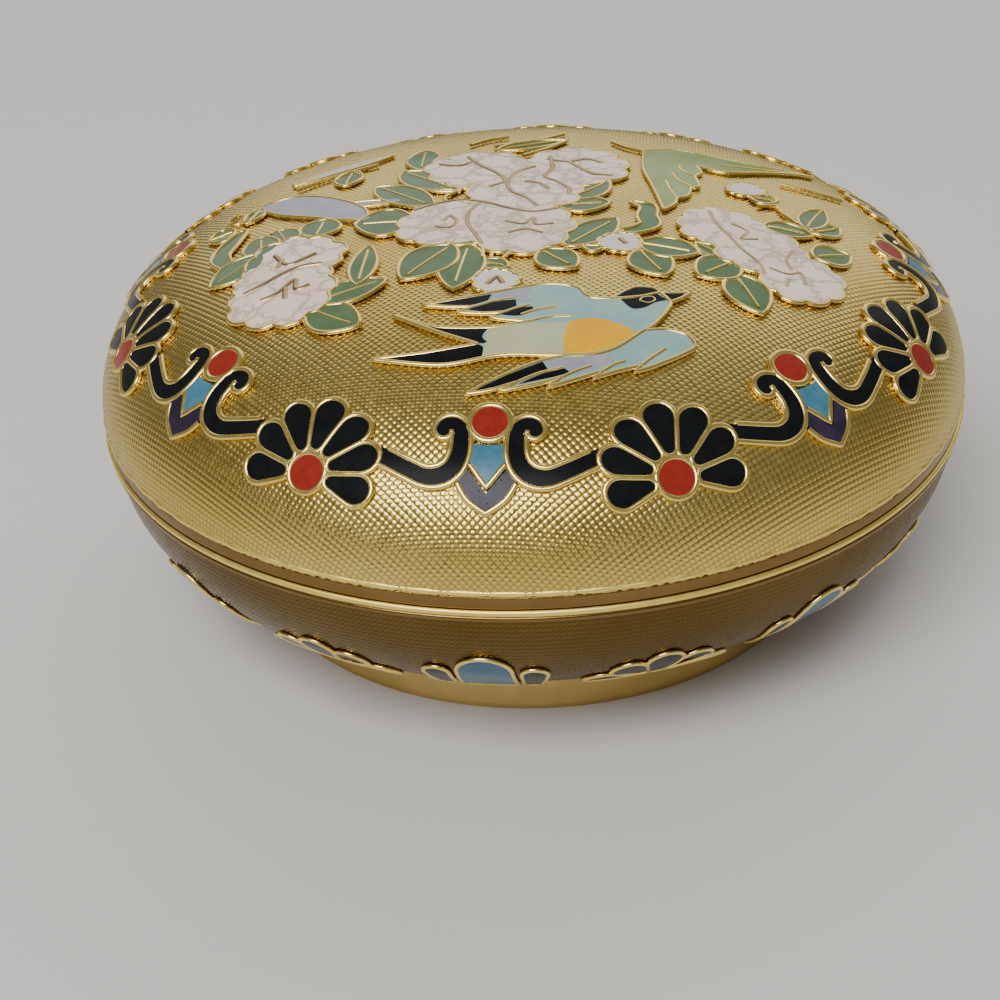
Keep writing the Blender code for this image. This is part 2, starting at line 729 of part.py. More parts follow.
        here = scaled(loops)
        relief(name, here, face, finishes[name], cuts=list(placed))
        placed += [grown(loop, MOTIF_GAP) for loop in here]


def main():
    for old in list(bpy.data.objects):
        bpy.data.objects.remove(old)
    gilt = material("gilt_brass", GILT, roughness=0.3, metallic=1.0)
    turned("lid", lid_profile(), gilt)
    turned("bowl", bowl_profile(), gilt)
    lid_border(laid_on(dome_height, 1))
    bowl_border(laid_on(bowl_height, -1))
    picture(laid_on(dome_height, 1))


main()
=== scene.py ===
import math

import bpy
import numpy as np
from mathutils import Matrix, Vector


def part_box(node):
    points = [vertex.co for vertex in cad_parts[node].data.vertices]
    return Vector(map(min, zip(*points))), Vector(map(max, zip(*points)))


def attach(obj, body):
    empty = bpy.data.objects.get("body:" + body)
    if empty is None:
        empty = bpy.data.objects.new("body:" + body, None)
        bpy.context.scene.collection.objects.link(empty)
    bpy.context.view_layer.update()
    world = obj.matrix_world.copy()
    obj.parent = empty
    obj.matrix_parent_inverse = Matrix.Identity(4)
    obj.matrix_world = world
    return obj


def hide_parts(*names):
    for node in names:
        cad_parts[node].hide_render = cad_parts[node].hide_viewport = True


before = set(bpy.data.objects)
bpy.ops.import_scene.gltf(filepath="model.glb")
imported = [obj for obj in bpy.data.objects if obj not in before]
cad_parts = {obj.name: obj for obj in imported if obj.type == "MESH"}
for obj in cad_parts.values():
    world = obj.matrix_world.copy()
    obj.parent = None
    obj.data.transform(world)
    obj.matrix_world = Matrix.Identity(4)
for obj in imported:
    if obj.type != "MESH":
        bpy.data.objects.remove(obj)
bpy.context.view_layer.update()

mm = 0.001
nodeNames = list(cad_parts)
lidLow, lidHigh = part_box("lid")
bowlLow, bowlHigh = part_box("bowl")
print("frame loaded:", len(nodeNames), "nodes")


# the box's own curves, in millimetres, read from the frame
box = {
    "radius": lidHigh[0] / mm,             # widest of the lid
    "lidBottom": lidLow[2] / mm,
    "lidTop": lidHigh[2] / mm,
    "springDrop": 1.1,                     # the dome springs this far under the lid's edge
    "fullness": 3.0,                       # exponents of the dome's curve
    "shoulder": 2.54,
    "lidWall": 1.4,
    "lidBand": 1.9,                        # plain band above the seam
    "seam": lidLow[2] / mm - 0.3,          # top of the bowl's rim
    "bowlBand": 1.3,
    "bowlBandProud": 0.9,
    "bowlWall": 1.5,
    "bowlFullness": 2.33,
    "footHeight": 5.2,
    "footRadius": 37.0,
    "footFlare": 0.5,
    "footWall": 2.2,
    "floorRecess": 3.2,
    "flangeTop": bowlHigh[2] / mm,
    "flangeDepth": 2.6,
    "flangeWall": 1.2,
    "flangeClear": 0.4,
    "repeats": 8,
    "palmetteFromSeam": 13.0,
    "scrollFromSeam": 21.0,
}


def domeHeight(radius):
    share = np.clip(np.abs(radius) / box["radius"], 0.0, 1.0) ** box["fullness"]
    spring = box["lidBottom"] - box["springDrop"]
    return spring + (box["lidTop"] - spring) * (1.0 - share) ** (1.0 / box["shoulder"])


def bowlHeight(radius):
    span = box["radius"] - box["bowlBandProud"] - box["footRadius"]
    share = np.clip((radius - box["footRadius"]) / span, 0.0, 1.0)
    top = box["seam"] - box["bowlBand"]
    return box["footHeight"] + (top - box["footHeight"]) * (
        1.0 - (1.0 - share) ** (1.0 / box["bowlFullness"]))


def normalOf(heightOf, radius, side):
    step = 0.01
    slope = (heightOf(radius + step) - heightOf(radius - step)) / (2 * step)
    length = np.hypot(slope, 1.0)
    return -side * slope / length, side / length


def walkOver(heightOf, start, end):
    # distance walked over the curve, and the radius there
    turn = np.linspace(0.0, math.pi / 2, 3000)
    radii = start + (end - start) * np.sin(turn)
    heights = heightOf(radii)
    walked = np.concatenate([[0.0], np.cumsum(np.hypot(np.diff(radii), np.diff(heights)))])
    return walked, radii


domeWalk, domeRadii = walkOver(domeHeight, 0.0, box["radius"])
bowlRim = box["radius"] - box["bowlBandProud"]
bowlWalk, bowlRadii = walkOver(bowlHeight, box["footRadius"], bowlRim)
seamWalk = domeWalk[-1] - box["springDrop"] + 0.3
palmetteWalk = seamWalk - box["palmetteFromSeam"]
scrollWalk = seamWalk - box["scrollFromSeam"]


# small tools

def selectOnly(piece):
    bpy.ops.object.select_all(action="DESELECT")
    piece.select_set(True)
    bpy.context.view_layer.objects.active = piece


def openEdit(piece, select="SELECT"):
    selectOnly(piece)
    bpy.ops.object.mode_set(mode="EDIT")
    bpy.ops.mesh.select_all(action=select)


def closeEdit():
    bpy.ops.object.mode_set(mode="OBJECT")


def pickFaces(piece, test):
    # selects faces by their middle and normal, then leaves the piece in edit mode
    selectOnly(piece)
    bpy.ops.object.mode_set(mode="EDIT")
    bpy.ops.mesh.select_mode(type="FACE")
    bpy.ops.mesh.select_all(action="DESELECT")
    bpy.ops.object.mode_set(mode="OBJECT")
    for face in piece.data.polygons:
        face.select = bool(test(face.center / mm, face.normal))
    bpy.ops.object.mode_set(mode="EDIT")


def vertexArray(piece):
    flat = np.empty(len(piece.data.vertices) * 3)
    piece.data.vertices.foreach_get("co", flat)
    return flat.reshape(-1, 3) / mm


def putVertices(piece, points):
    piece.data.vertices.foreach_set("co", (points * mm).ravel())
    piece.data.update()


def onDome(points):
    # flat plan points with a lift become points over the lid
    radius = np.maximum(np.hypot(points[:, 0], points[:, 1]), 1e-5)
    out, up = normalOf(domeHeight, np.minimum(radius, box["radius"] - 0.02), 1)
    scale = (radius + out * points[:, 2]) / radius
    return np.stack([points[:, 0] * scale, points[:, 1] * scale,
                     domeHeight(radius) + up * points[:, 2]], 1)


def onBowl(points):
    radius = np.maximum(np.hypot(points[:, 0], points[:, 1]), 1e-5)
    out, up = normalOf(bowlHeight, np.maximum(radius, box["footRadius"] + 0.05), -1)
    scale = (radius + out * points[:, 2]) / radius
    return np.stack([points[:, 0] * scale, points[:, 1] * scale,
                     bowlHeight(radius) + up * points[:, 2]], 1)


def borderPlace(walks, radii, middle, turn):
    # a border motif's own flat sheet (across, outwards) laid at its place in the ring
    def place(points):
        radius = np.interp(middle + points[:, 1], walks, radii)
        angle = turn + points[:, 0] / radius
        return np.stack([radius * np.sin(angle), -radius * np.cos(angle), points[:, 2]], 1)
    return place


def drape(piece, *maps):
    points = vertexArray(piece)
    for step in maps:
        points = step(points)
    putVertices(piece, points)


def finishPiece(piece, material, slot, *replaced, smooth=40):
    piece.data.materials.clear()
    piece.data.materials.append(material)
    selectOnly(piece)
    bpy.ops.object.shade_smooth_by_angle(angle=math.radians(smooth))
    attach(piece, "root")
    if replaced:
        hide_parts(*replaced)
    return piece


def newCurve(name, lines, closed, depth=0.0, sides=3, flat=False):
    # lines of (x, y) or (x, y, z) in millimetres become one curve object
    curve = bpy.data.curves.new(name, "CURVE")
    curve.dimensions = "2D" if flat else "3D"
    curve.fill_mode = "BOTH" if flat else "FULL"
    curve.bevel_depth = depth * mm
    curve.bevel_resolution = sides
    curve.use_fill_caps = not flat
    for line in lines:
        spline = curve.splines.new("POLY")
        spline.points.add(len(line) - 1)
        for point, place in zip(spline.points, line):
            height = place[2] if len(place) > 2 else 0.0
            point.co = (place[0] * mm, place[1] * mm, height * mm, 1.0)
        spline.use_cyclic_u = closed
    piece = bpy.data.objects.new(name, curve)
    bpy.context.collection.objects.link(piece)
    selectOnly(piece)
    bpy.ops.object.convert(target="MESH")
    return bpy.context.view_layer.objects.active


def joinPieces(name, pieces):
    bpy.ops.object.select_all(action="DESELECT")
    for piece in pieces:
        piece.select_set(True)
    bpy.context.view_layer.objects.active = pieces[0]
    if len(pieces) > 1:
        bpy.ops.object.join()
    pieces[0].name = name
    pieces[0].data.name = name
    return pieces[0]


def ringOfCopies(name, piece, count):
    # the first one is modelled in place, the rest are copies turned about the box's axis
    copies = [piece]
    for index in range(1, count):
        selectOnly(piece)
        bpy.ops.object.duplicate(linked=False)
        copy = bpy.context.view_layer.objects.active
        copy.rotation_euler.z = 2 * math.pi * index / count
        bpy.ops.object.transform_apply(location=False, rotation=True, scale=False)
        copies.append(copy)
    return joinPieces(name, copies)


# flat outlines, in millimetres

def circle(x, y, radius, count=28):
    turns = [2 * math.pi * index / count for index in range(count)]
    return [(x + radius * math.cos(turn), y + radius * math.sin(turn)) for turn in turns]


def smoothRun(points, spacing=0.45):
    # a smooth run through the given points, one every spacing or so
    padded = [points[0], *points, points[-1]]
    run = []
    for a, b, c, d in zip(padded, padded[1:], padded[2:], padded[3:]):
        steps = max(2, round(math.dist(b[:2], c[:2]) / spacing))
        for index in range(steps):
            t = index / steps
            run.append(tuple(
                0.5 * (2 * b[k] + (c[k] - a[k]) * t
                       + (2 * a[k] - 5 * b[k] + 4 * c[k] - d[k]) * t ** 2
                       + (3 * b[k] - a[k] - 3 * c[k] + d[k]) * t ** 3)
                for k in range(len(b))))
    run.append(tuple(points[-1]))
    return run


def outlineOf(*runs):
    # a closed outline of smooth runs that meet at corners
    outline = []
    for run in runs:
        outline += smoothRun(run)[:-1]
    return outline


def capsule(x0, y0, r0, x1, y1, r1, count=10):
    # two circles and their common tangents
    along = math.hypot(x1 - x0, y1 - y0)
    heading = math.atan2(y1 - y0, x1 - x0)
    lean = math.acos((r0 - r1) / along)
    outline = []
    for step in range(count + 1):
        turn = heading - lean + 2 * lean * step / count
        outline.append((x1 + r1 * math.cos(turn), y1 + r1 * math.sin(turn)))
    sides = 3
    small = max(4, count // 2)
    for step in range(1, sides):
        share = step / sides
        turn = heading + lean
        outline.append((x1 + (x0 - x1) * share + (r1 + (r0 - r1) * share) * math.cos(turn),
                        y1 + (y0 - y1) * share + (r1 + (r0 - r1) * share) * math.sin(turn)))
    for step in range(small + 1):
        turn = heading + lean + (2 * math.pi - 2 * lean) * step / small
        outline.append((x0 + r0 * math.cos(turn), y0 + r0 * math.sin(turn)))
    for step in range(1, sides):
        share = step / sides
        turn = heading - lean
        outline.append((x0 + (x1 - x0) * share + (r0 + (r1 - r0) * share) * math.cos(turn),
                        y0 + (y1 - y0) * share + (r0 + (r1 - r0) * share) * math.sin(turn)))
    return outline


def stroke(points, spacing=0.45, ends=7):
    # closed outline of a round-ended stroke along (x, y, half width) points
    run = smoothRun(points, spacing)
    left = []
    right = []
    for index, (x, y, half) in enumerate(run):
        before = run[max(index - 1, 0)]
        after = run[min(index + 1, len(run) - 1)]
        heading = math.atan2(after[1] - before[1], after[0] - before[0])
        left.append((x - math.sin(heading) * half, y + math.cos(heading) * half))
        right.append((x + math.sin(heading) * half, y - math.cos(heading) * half))
        if index in (0, len(run) - 1):
            first = heading + (math.pi / 2 if index else -math.pi / 2)
            cap = [(x + half * math.cos(first - math.pi * step / (ends + 1)),
                    y + half * math.sin(first - math.pi * step / (ends + 1)))
                   for step in range(1, ends + 1)]
            if index:
                endCap = cap
            else:
                startCap = cap
    return left + endCap + right[::-1] + startCap


def grow(outline, by):
    # an outline moved outwards, square to its sides
    area = sum(a[0] * b[1] - b[0] * a[1] for a, b in zip(outline, outline[1:] + outline[:1]))
    side = 1.0 if area > 0 else -1.0
    moved = []
    for before, here, after in zip(outline[-1:] + outline[:-1], outline,
                                   outline[1:] + outline[:1]):
        outward = Vector((0.0, 0.0))
        for start, end in ((before, here), (here, after)):
            edge = Vector((end[1] - start[1], start[0] - end[0])) * side
            if edge.length > 1e-7:
                outward += edge.normalized()
        half = max(outward.length / 2, 0.6)
        step = outward.normalized() * (by / half)
        moved.append((here[0] + step.x, here[1] + step.y))
    return moved


def inside(point, outline):
    x, y = point[0], point[1]
    odd = False
    for (ax, ay), (bx, by) in zip(outline, outline[1:] + outline[:1]):
        if (ay > y) != (by > y) and x < (bx - ax) * (y - ay) / (by - ay) + ax:
            odd = not odd
    return odd


def clipLine(line, closed, covers):
    # keeps the stretches of a line that no cover hides
    shown = [not any(inside(point, cover) for cover in covers) for point in line]
    if all(shown):
        return [line], []
    if closed and any(shown):
        first = shown.index(False)
        line = line[first:] + line[:first]
        shown = shown[first:] + shown[:first]
    stretches = []
    current = []
    for point, seen in zip(line, shown):
        if seen:
            current.append(point)
        elif len(current) > 1:
            stretches.append(current)
            current = []
        else:
            current = []
    if len(current) > 1:
        stretches.append(current)
    return [], stretches


# gilt wires and enamel cells

wireStyle = {
    "half": 0.35,            # half width of a wire
    "level": 0.32,           # height of its middle over the ground
    "flatten": 0.92,
    "sides": 3,
}
enamelStyle = {
    "level": 0.50,           # top of the enamel over the ground
    "depth": 0.55,
}


def wires(name, closedLines, openLines=(), half=None, level=None):
    half = wireStyle["half"] if half is None else half
    level = wireStyle["level"] if level is None else level
    made = []
    if closedLines:
        made.append(newCurve(name, closedLines, True, half, wireStyle["sides"]))
    if openLines:
        made.append(newCurve(name, openLines, False, half, wireStyle["sides"]))
    piece = joinPieces(name, made)
    points = vertexArray(piece)
    points[:, 2] = points[:, 2] * wireStyle["flatten"] + level
    putVertices(piece, points)
    return piece


def gridCut(piece, spacing):
    # cuts a flat sheet along a grid, so that it can follow the curved metal
    points = vertexArray(piece)
    low = points.min(0)
    high = points.max(0)
    openEdit(piece)
    for axis in (0, 1):
        count = int((high[axis] - low[axis]) / spacing)
        for index in range(1, count + 1):
            place = [0.0, 0.0, 0.0]
            normal = [0.0, 0.0, 0.0]
            place[axis] = (low[axis] + (high[axis] - low[axis]) * index / (count + 1)) * mm
            normal[axis] = 1.0
            bpy.ops.mesh.select_all(action="SELECT")
            bpy.ops.mesh.bisect(plane_co=place, plane_no=normal)
    closeEdit()


def cells(name, outlines, spacing=1.6, level=None):
    # enamel fills: flat outlines, cut to follow the metal, with a back
    level = enamelStyle["level"] if level is None else level
    piece = newCurve(name, outlines, True, flat=True)
    if sum(face.normal.z for face in piece.data.polygons) < 0:
        openEdit(piece)
        bpy.ops.mesh.flip_normals()
        closeEdit()
    openEdit(piece)
    bpy.ops.mesh.remove_doubles(threshold=1e-6)
    closeEdit()
    gridCut(piece, spacing)
    openEdit(piece)
    bpy.ops.mesh.extrude_region_move(
        TRANSFORM_OT_translate={"value": (0.0, 0.0, -enamelStyle["depth"] * mm)})
    bpy.ops.mesh.select_all(action="SELECT")
    bpy.ops.mesh.normals_make_consistent(inside=False)
    closeEdit()
    points = vertexArray(piece)
    points[:, 2] += level
    putVertices(piece, points)
    return piece


# materials

def newGroup(name, inputs, outputs):
    group = bpy.data.node_groups.new(name, "ShaderNodeTree")
    for label, kind, value in inputs:
        socket = group.interface.new_socket(name=label, in_out="INPUT", socket_type=kind)
        if value is not None:
            socket.default_value = value
    for label, kind in outputs:
        group.interface.new_socket(name=label, in_out="OUTPUT", socket_type=kind)
    return group, group.nodes.new("NodeGroupInput"), group.nodes.new("NodeGroupOutput")


def buildGiltGroup():
    # gilding: two tones in broad clouds, with fine tarnish specks
    group, given, result = newGroup(
        "giltTone",
        [("Vector", "NodeSocketVector", None),
         ("Light", "NodeSocketColor", (0.8, 0.65, 0.3, 1.0)),
         ("Deep", "NodeSocketColor", (0.6, 0.42, 0.15, 1.0)),
         ("CloudScale", "NodeSocketFloat", 40.0),
         ("SpeckScale", "NodeSocketFloat", 900.0),
         ("RoughLow", "NodeSocketFloat", 0.2),
         ("RoughHigh", "NodeSocketFloat", 0.4)],
        [("Color", "NodeSocketColor"), ("Roughness", "NodeSocketFloat"),
         ("Height", "NodeSocketFloat")])
    nodes, links = group.nodes, group.links
    cloud = nodes.new("ShaderNodeTexNoise")
    cloud.inputs["Detail"].default_value = 4.0
    speck = nodes.new("ShaderNodeTexNoise")
    speck.inputs["Detail"].default_value = 3.0
    tone = nodes.new("ShaderNodeMix")
    tone.data_type = "RGBA"
    spread = nodes.new("ShaderNodeMapRange")
    spread.inputs["From Min"].default_value = 0.35
    spread.inputs["From Max"].default_value = 0.65
    rough = nodes.new("ShaderNodeMapRange")
    rough.inputs["From Min"].default_value = 0.3
    rough.inputs["From Max"].default_value = 0.7
    links.new(given.outputs["Vector"], cloud.inputs["Vector"])
    links.new(given.outputs["Vector"], speck.inputs["Vector"])
    links.new(given.outputs["CloudScale"], cloud.inputs["Scale"])
    links.new(given.outputs["SpeckScale"], speck.inputs["Scale"])
    links.new(cloud.outputs["Fac"], spread.inputs["Value"])
    links.new(spread.outputs["Result"], tone.inputs["Factor"])
    links.new(given.outputs["Light"], tone.inputs["A"])
    links.new(given.outputs["Deep"], tone.inputs["B"])
    links.new(speck.outputs["Fac"], rough.inputs["Value"])
    links.new(given.outputs["RoughLow"], rough.inputs["To Min"])
    links.new(given.outputs["RoughHigh"], rough.inputs["To Max"])
    links.new(tone.outputs["Result"], result.inputs["Color"])
    links.new(rough.outputs["Result"], result.inputs["Roughness"])
    links.new(speck.outputs["Fac"], result.inputs["Height"])
    return group


def buildEnamelGroup():
    # fired enamel: a mottled tone with a few pinholes
    group, given, result = newGroup(
        "enamelTone",
        [("Vector", "NodeSocketVector", None),
         ("Base", "NodeSocketColor", (0.5, 0.5, 0.5, 1.0)),
         ("Mottle", "NodeSocketColor", (0.4, 0.4, 0.4, 1.0)),
         ("MottleScale", "NodeSocketFloat", 500.0),
         ("MottleMix", "NodeSocketFloat", 0.6)],
        [("Color", "NodeSocketColor"), ("Roughness", "NodeSocketFloat"),
         ("Height", "NodeSocketFloat")])
    nodes, links = group.nodes, group.links
    mottle = nodes.new("ShaderNodeTexNoise")
    mottle.inputs["Detail"].default_value = 5.0
    mottle.inputs["Roughness"].default_value = 0.6
    spread = nodes.new("ShaderNodeMapRange")
    spread.inputs["From Min"].default_value = 0.38
    spread.inputs["From Max"].default_value = 0.66
    amount = nodes.new("ShaderNodeMath")
    amount.operation = "MULTIPLY"
    tone = nodes.new("ShaderNodeMix")
    tone.data_type = "RGBA"
    holes = nodes.new("ShaderNodeTexVoronoi")
    holes.inputs["Scale"].default_value = 1300.0
    holeMask = nodes.new("ShaderNodeMapRange")
    holeMask.inputs["From Min"].default_value = 0.05
    holeMask.inputs["From Max"].default_value = 0.16
    rough = nodes.new("ShaderNodeMapRange")
    rough.inputs["To Min"].default_value = 0.42
    rough.inputs["To Max"].default_value = 0.20
    links.new(given.outputs["Vector"], mottle.inputs["Vector"])
    links.new(given.outputs["Vector"], holes.inputs["Vector"])
    links.new(given.outputs["MottleScale"], mottle.inputs["Scale"])
    links.new(mottle.outputs["Fac"], spread.inputs["Value"])
    links.new(spread.outputs["Result"], amount.inputs[0])
    links.new(given.outputs["MottleMix"], amount.inputs[1])
    links.new(amount.outputs[0], tone.inputs["Factor"])
    links.new(given.outputs["Base"], tone.inputs["A"])
    links.new(given.outputs["Mottle"], tone.inputs["B"])
    links.new(holes.outputs["Distance"], holeMask.inputs["Value"])
    links.new(holeMask.outputs["Result"], rough.inputs["Value"])
    links.new(tone.outputs["Result"], result.inputs["Color"])
    links.new(rough.outputs["Result"], result.inputs["Roughness"])
    links.new(holeMask.outputs["Result"], result.inputs["Height"])
    return group


def buildPointGroup():
    # 1 on every point of a pressed lattice and 0 in its valleys, from the sheet's own cells
    group, given, result = newGroup(
        "latticePoints",
        [("Vector", "NodeSocketVector", None),
         ("Columns", "NodeSocketFloat", 100.0),
         ("Rows", "NodeSocketFloat", 100.0)],
        [("Mask", "NodeSocketFloat")])
    nodes, links = group.nodes, group.links
    counts = nodes.new("ShaderNodeCombineXYZ")
    spread = nodes.new("ShaderNodeVectorMath")
    spread.operation = "MULTIPLY"
    cell = nodes.new("ShaderNodeVectorMath")
    cell.operation = "FRACTION"
    centred = nodes.new("ShaderNodeVectorMath")
    centred.operation = "SUBTRACT"
    centred.inputs[1].default_value = (0.5, 0.5, 0.0)
    away = nodes.new("ShaderNodeVectorMath")
    away.operation = "LENGTH"
    rise = nodes.new("ShaderNodeMapRange")
    rise.interpolation_type = "SMOOTHSTEP"
    rise.inputs["From Min"].default_value = 0.64
    rise.inputs["From Max"].default_value = 0.16
    links.new(given.outputs["Columns"], counts.inputs["X"])
    links.new(given.outputs["Rows"], counts.inputs["Y"])
    links.new(given.outputs["Vector"], spread.inputs[0])
    links.new(counts.outputs["Vector"], spread.inputs[1])
    links.new(spread.outputs["Vector"], cell.inputs[0])
    links.new(cell.outputs["Vector"], centred.inputs[0])
    links.new(centred.outputs["Vector"], away.inputs[0])
    links.new(away.outputs["Value"], rise.inputs["Value"])
    links.new(rise.outputs["Result"], result.inputs["Mask"])
    return group


def buildVeinGroup():
    # ragged lines between petals: the edges of stretched cells, pushed about by noise
    group, given, result = newGroup(
        "petalVeins",
        [("Vector", "NodeSocketVector", None),
         ("Scale", "NodeSocketFloat", 300.0),
         ("Ragged", "NodeSocketFloat", 0.0026)],
        [("Mask", "NodeSocketFloat")])
    nodes, links = group.nodes, group.links
    noise = nodes.new("ShaderNodeTexNoise")
    noise.inputs["Scale"].default_value = 800.0
    noise.inputs["Detail"].default_value = 2.0
    centred = nodes.new("ShaderNodeVectorMath")
    centred.operation = "SUBTRACT"
    centred.inputs[1].default_value = (0.5, 0.5, 0.5)
    push = nodes.new("ShaderNodeVectorMath")
    push.operation = "SCALE"
    moved = nodes.new("ShaderNodeVectorMath")
    moved.operation = "ADD"
    cellEdge = nodes.new("ShaderNodeTexVoronoi")
    cellEdge.feature = "DISTANCE_TO_EDGE"
    line = nodes.new("ShaderNodeMapRange")
    line.interpolation_type = "SMOOTHSTEP"
    line.inputs["From Min"].default_value = 0.11
    line.inputs["From Max"].default_value = 0.02
    links.new(given.outputs["Vector"], noise.inputs["Vector"])
    links.new(noise.outputs["Color"], centred.inputs[0])
    links.new(centred.outputs["Vector"], push.inputs[0])
    links.new(given.outputs["Ragged"], push.inputs["Scale"])
    links.new(given.outputs["Vector"], moved.inputs[0])
    links.new(push.outputs["Vector"], moved.inputs[1])
    links.new(moved.outputs["Vector"], cellEdge.inputs["Vector"])
    links.new(given.outputs["Scale"], cellEdge.inputs["Scale"])
    links.new(cellEdge.outputs["Distance"], line.inputs["Value"])
    links.new(line.outputs["Result"], result.inputs["Mask"])
    return group


giltGroup = buildGiltGroup()
enamelGroup = buildEnamelGroup()
pointGroup = buildPointGroup()
veinGroup = buildVeinGroup()


def startMaterial(name, group, values):
    material = bpy.data.materials.new(name)
    material.use_nodes = True
    nodes, links = material.node_tree.nodes, material.node_tree.links
    shader = nodes["Principled BSDF"]
    coords = nodes.new("ShaderNodeTexCoord")
    tone = nodes.new("ShaderNodeGroup")
    tone.node_tree = group
    for label, value in values.items():
        tone.inputs[label].default_value = value
    links.new(coords.outputs["Object"], tone.inputs["Vector"])
    links.new(tone.outputs["Color"], shader.inputs["Base Color"])
    links.new(tone.outputs["Roughness"], shader.inputs["Roughness"])
    return material, nodes, links, shader, tone


def addBump(nodes, links, shader, height, distance, strength=1.0):
    bump = nodes.new("ShaderNodeBump")
    bump.inputs["Distance"].default_value = distance * mm
    bump.inputs["Strength"].default_value = strength
    links.new(height, bump.inputs["Height"])
    links.new(bump.outputs["Normal"], shader.inputs["Normal"])


def giltMaterial(name, light, deep, roughLow, roughHigh, cloud=40.0, speck=900.0, bump=0.004):
    material, nodes, links, shader, tone = startMaterial(name, giltGroup, {
        "Light": (*light, 1.0), "Deep": (*deep, 1.0), "CloudScale": cloud,
        "SpeckScale": speck, "RoughLow": roughLow, "RoughHigh": roughHigh})
    shader.inputs["Metallic"].default_value = 1.0
    addBump(nodes, links, shader, tone.outputs["Height"], bump)
    return material


def mixInto(nodes, links, shader, tone, mask, colour, amount=1.0):
    # lays a colour over the tone where the mask is 1
    share = nodes.new("ShaderNodeMath")
    share.operation = "MULTIPLY"
    share.inputs[1].default_value = amount
    mix = nodes.new("ShaderNodeMix")
    mix.data_type = "RGBA"
    mix.inputs["B"].default_value = (*colour, 1.0)
    links.new(mask, share.inputs[0])
    links.new(share.outputs[0], mix.inputs["Factor"])
    links.new(tone, mix.inputs["A"])
    links.new(mix.outputs["Result"], shader.inputs["Base Color"])


def latticeMaterial(name, light, deep, valleyShade, columns, rows, height):
    # gilding over a pressed lattice: bright round points, and painted shade that darkens the
    # valleys between them
    material, nodes, links, shader, tone = startMaterial(name, giltGroup, {
        "Light": (*light, 1.0), "Deep": (*deep, 1.0), "RoughLow": 0.20, "RoughHigh": 0.34})
    shader.inputs["Metallic"].default_value = 1.0
    sheet = nodes.new("ShaderNodeUVMap")
    sheet.uv_map = "UVMap"
    points = nodes.new("ShaderNodeGroup")
    points.node_tree = pointGroup
    points.inputs["Columns"].default_value = columns
    points.inputs["Rows"].default_value = rows
    links.new(sheet.outputs["UV"], points.inputs["Vector"])
    valleyShadeMask = nodes.new("ShaderNodeMath")
    valleyShadeMask.operation = "SUBTRACT"
    valleyShadeMask.inputs[0].default_value = 1.0
    links.new(points.outputs["Mask"], valleyShadeMask.inputs[1])
    # painted shade: the valley colour is laid over the gilt in the hollows between the points
    mixInto(nodes, links, shader, tone.outputs["Color"], valleyShadeMask.outputs[0], valleyShade, 0.75)
    addBump(nodes, links, shader, points.outputs["Mask"], height)
    return material


def enamelMaterial(name, base, mottle, mottleScale=500.0, mottleMix=0.6, shine=0.28, veins=None):
    material, nodes, links, shader, tone = startMaterial(name, enamelGroup, {
        "Base": (*base, 1.0), "Mottle": (*mottle, 1.0), "MottleScale": mottleScale,
        "MottleMix": mottleMix})
    shader.inputs["Specular IOR Level"].default_value = shine
    shader.inputs["IOR"].default_value = 1.45
    if veins:
        lines = nodes.new("ShaderNodeGroup")
        lines.node_tree = veinGroup
        lines.inputs["Scale"].default_value = veins["scale"]
        links.new(nodes["Texture Coordinate"].outputs["Object"], lines.inputs["Vector"])
        mixInto(nodes, links, shader, tone.outputs["Color"], lines.outputs["Mask"],
                veins["colour"], veins["amount"])
    addBump(nodes, links, shader, tone.outputs["Height"], 0.012)
    return material


giltWire = giltMaterial("giltWire", (0.98, 0.77, 0.24), (0.92, 0.66, 0.17), 0.18, 0.32,
                        cloud=160.0)
giltBead = giltMaterial("giltBead", (1.00, 0.82, 0.24), (0.97, 0.72, 0.17), 0.38, 0.48,
                        cloud=160.0)
# painted reflection: the plain gilt of the band and the shells is the same brass as the wires,
# painted dark for the dark surroundings it reflects
giltPlainPaintedDark = giltMaterial("giltPlainPaintedDark", (0.26, 0.16, 0.055), (0.21, 0.12, 0.036), 0.16, 0.32,
                         cloud=70.0, speck=500.0)
# painted light and shade: the foot's gilt is darker than the wires but lighter than the band, for
# the light on the foot's front
giltFootPaintedLight = giltMaterial("giltFootPaintedLight", (0.60, 0.43, 0.15), (0.52, 0.35, 0.11), 0.28, 0.44,
                        cloud=70.0, speck=500.0)
# the petal lines' gilt is darkened to brown: partly the look of a wire lying low in the enamel,
# partly painted shade from the enamel beside it
giltLineTintAndShade = giltMaterial("giltLineTintAndShade", (0.58, 0.42, 0.22), (0.46, 0.31, 0.14), 0.26, 0.42,
                        cloud=160.0)
blackEnamel = enamelMaterial("blackEnamel", (0.008, 0.008, 0.009), (0.012, 0.016, 0.017),
                             shine=0.06)
redEnamel = enamelMaterial("redEnamel", (0.32, 0.026, 0.017), (0.25, 0.018, 0.010), 900.0, 0.7)
blueEnamel = enamelMaterial("blueEnamel", (0.05, 0.185, 0.28), (0.10, 0.25, 0.34), 700.0, 0.6)
navyEnamel = enamelMaterial("navyEnamel", (0.022, 0.016, 0.034), (0.05, 0.035, 0.07), 300.0, 0.8,
                            shine=0.2)
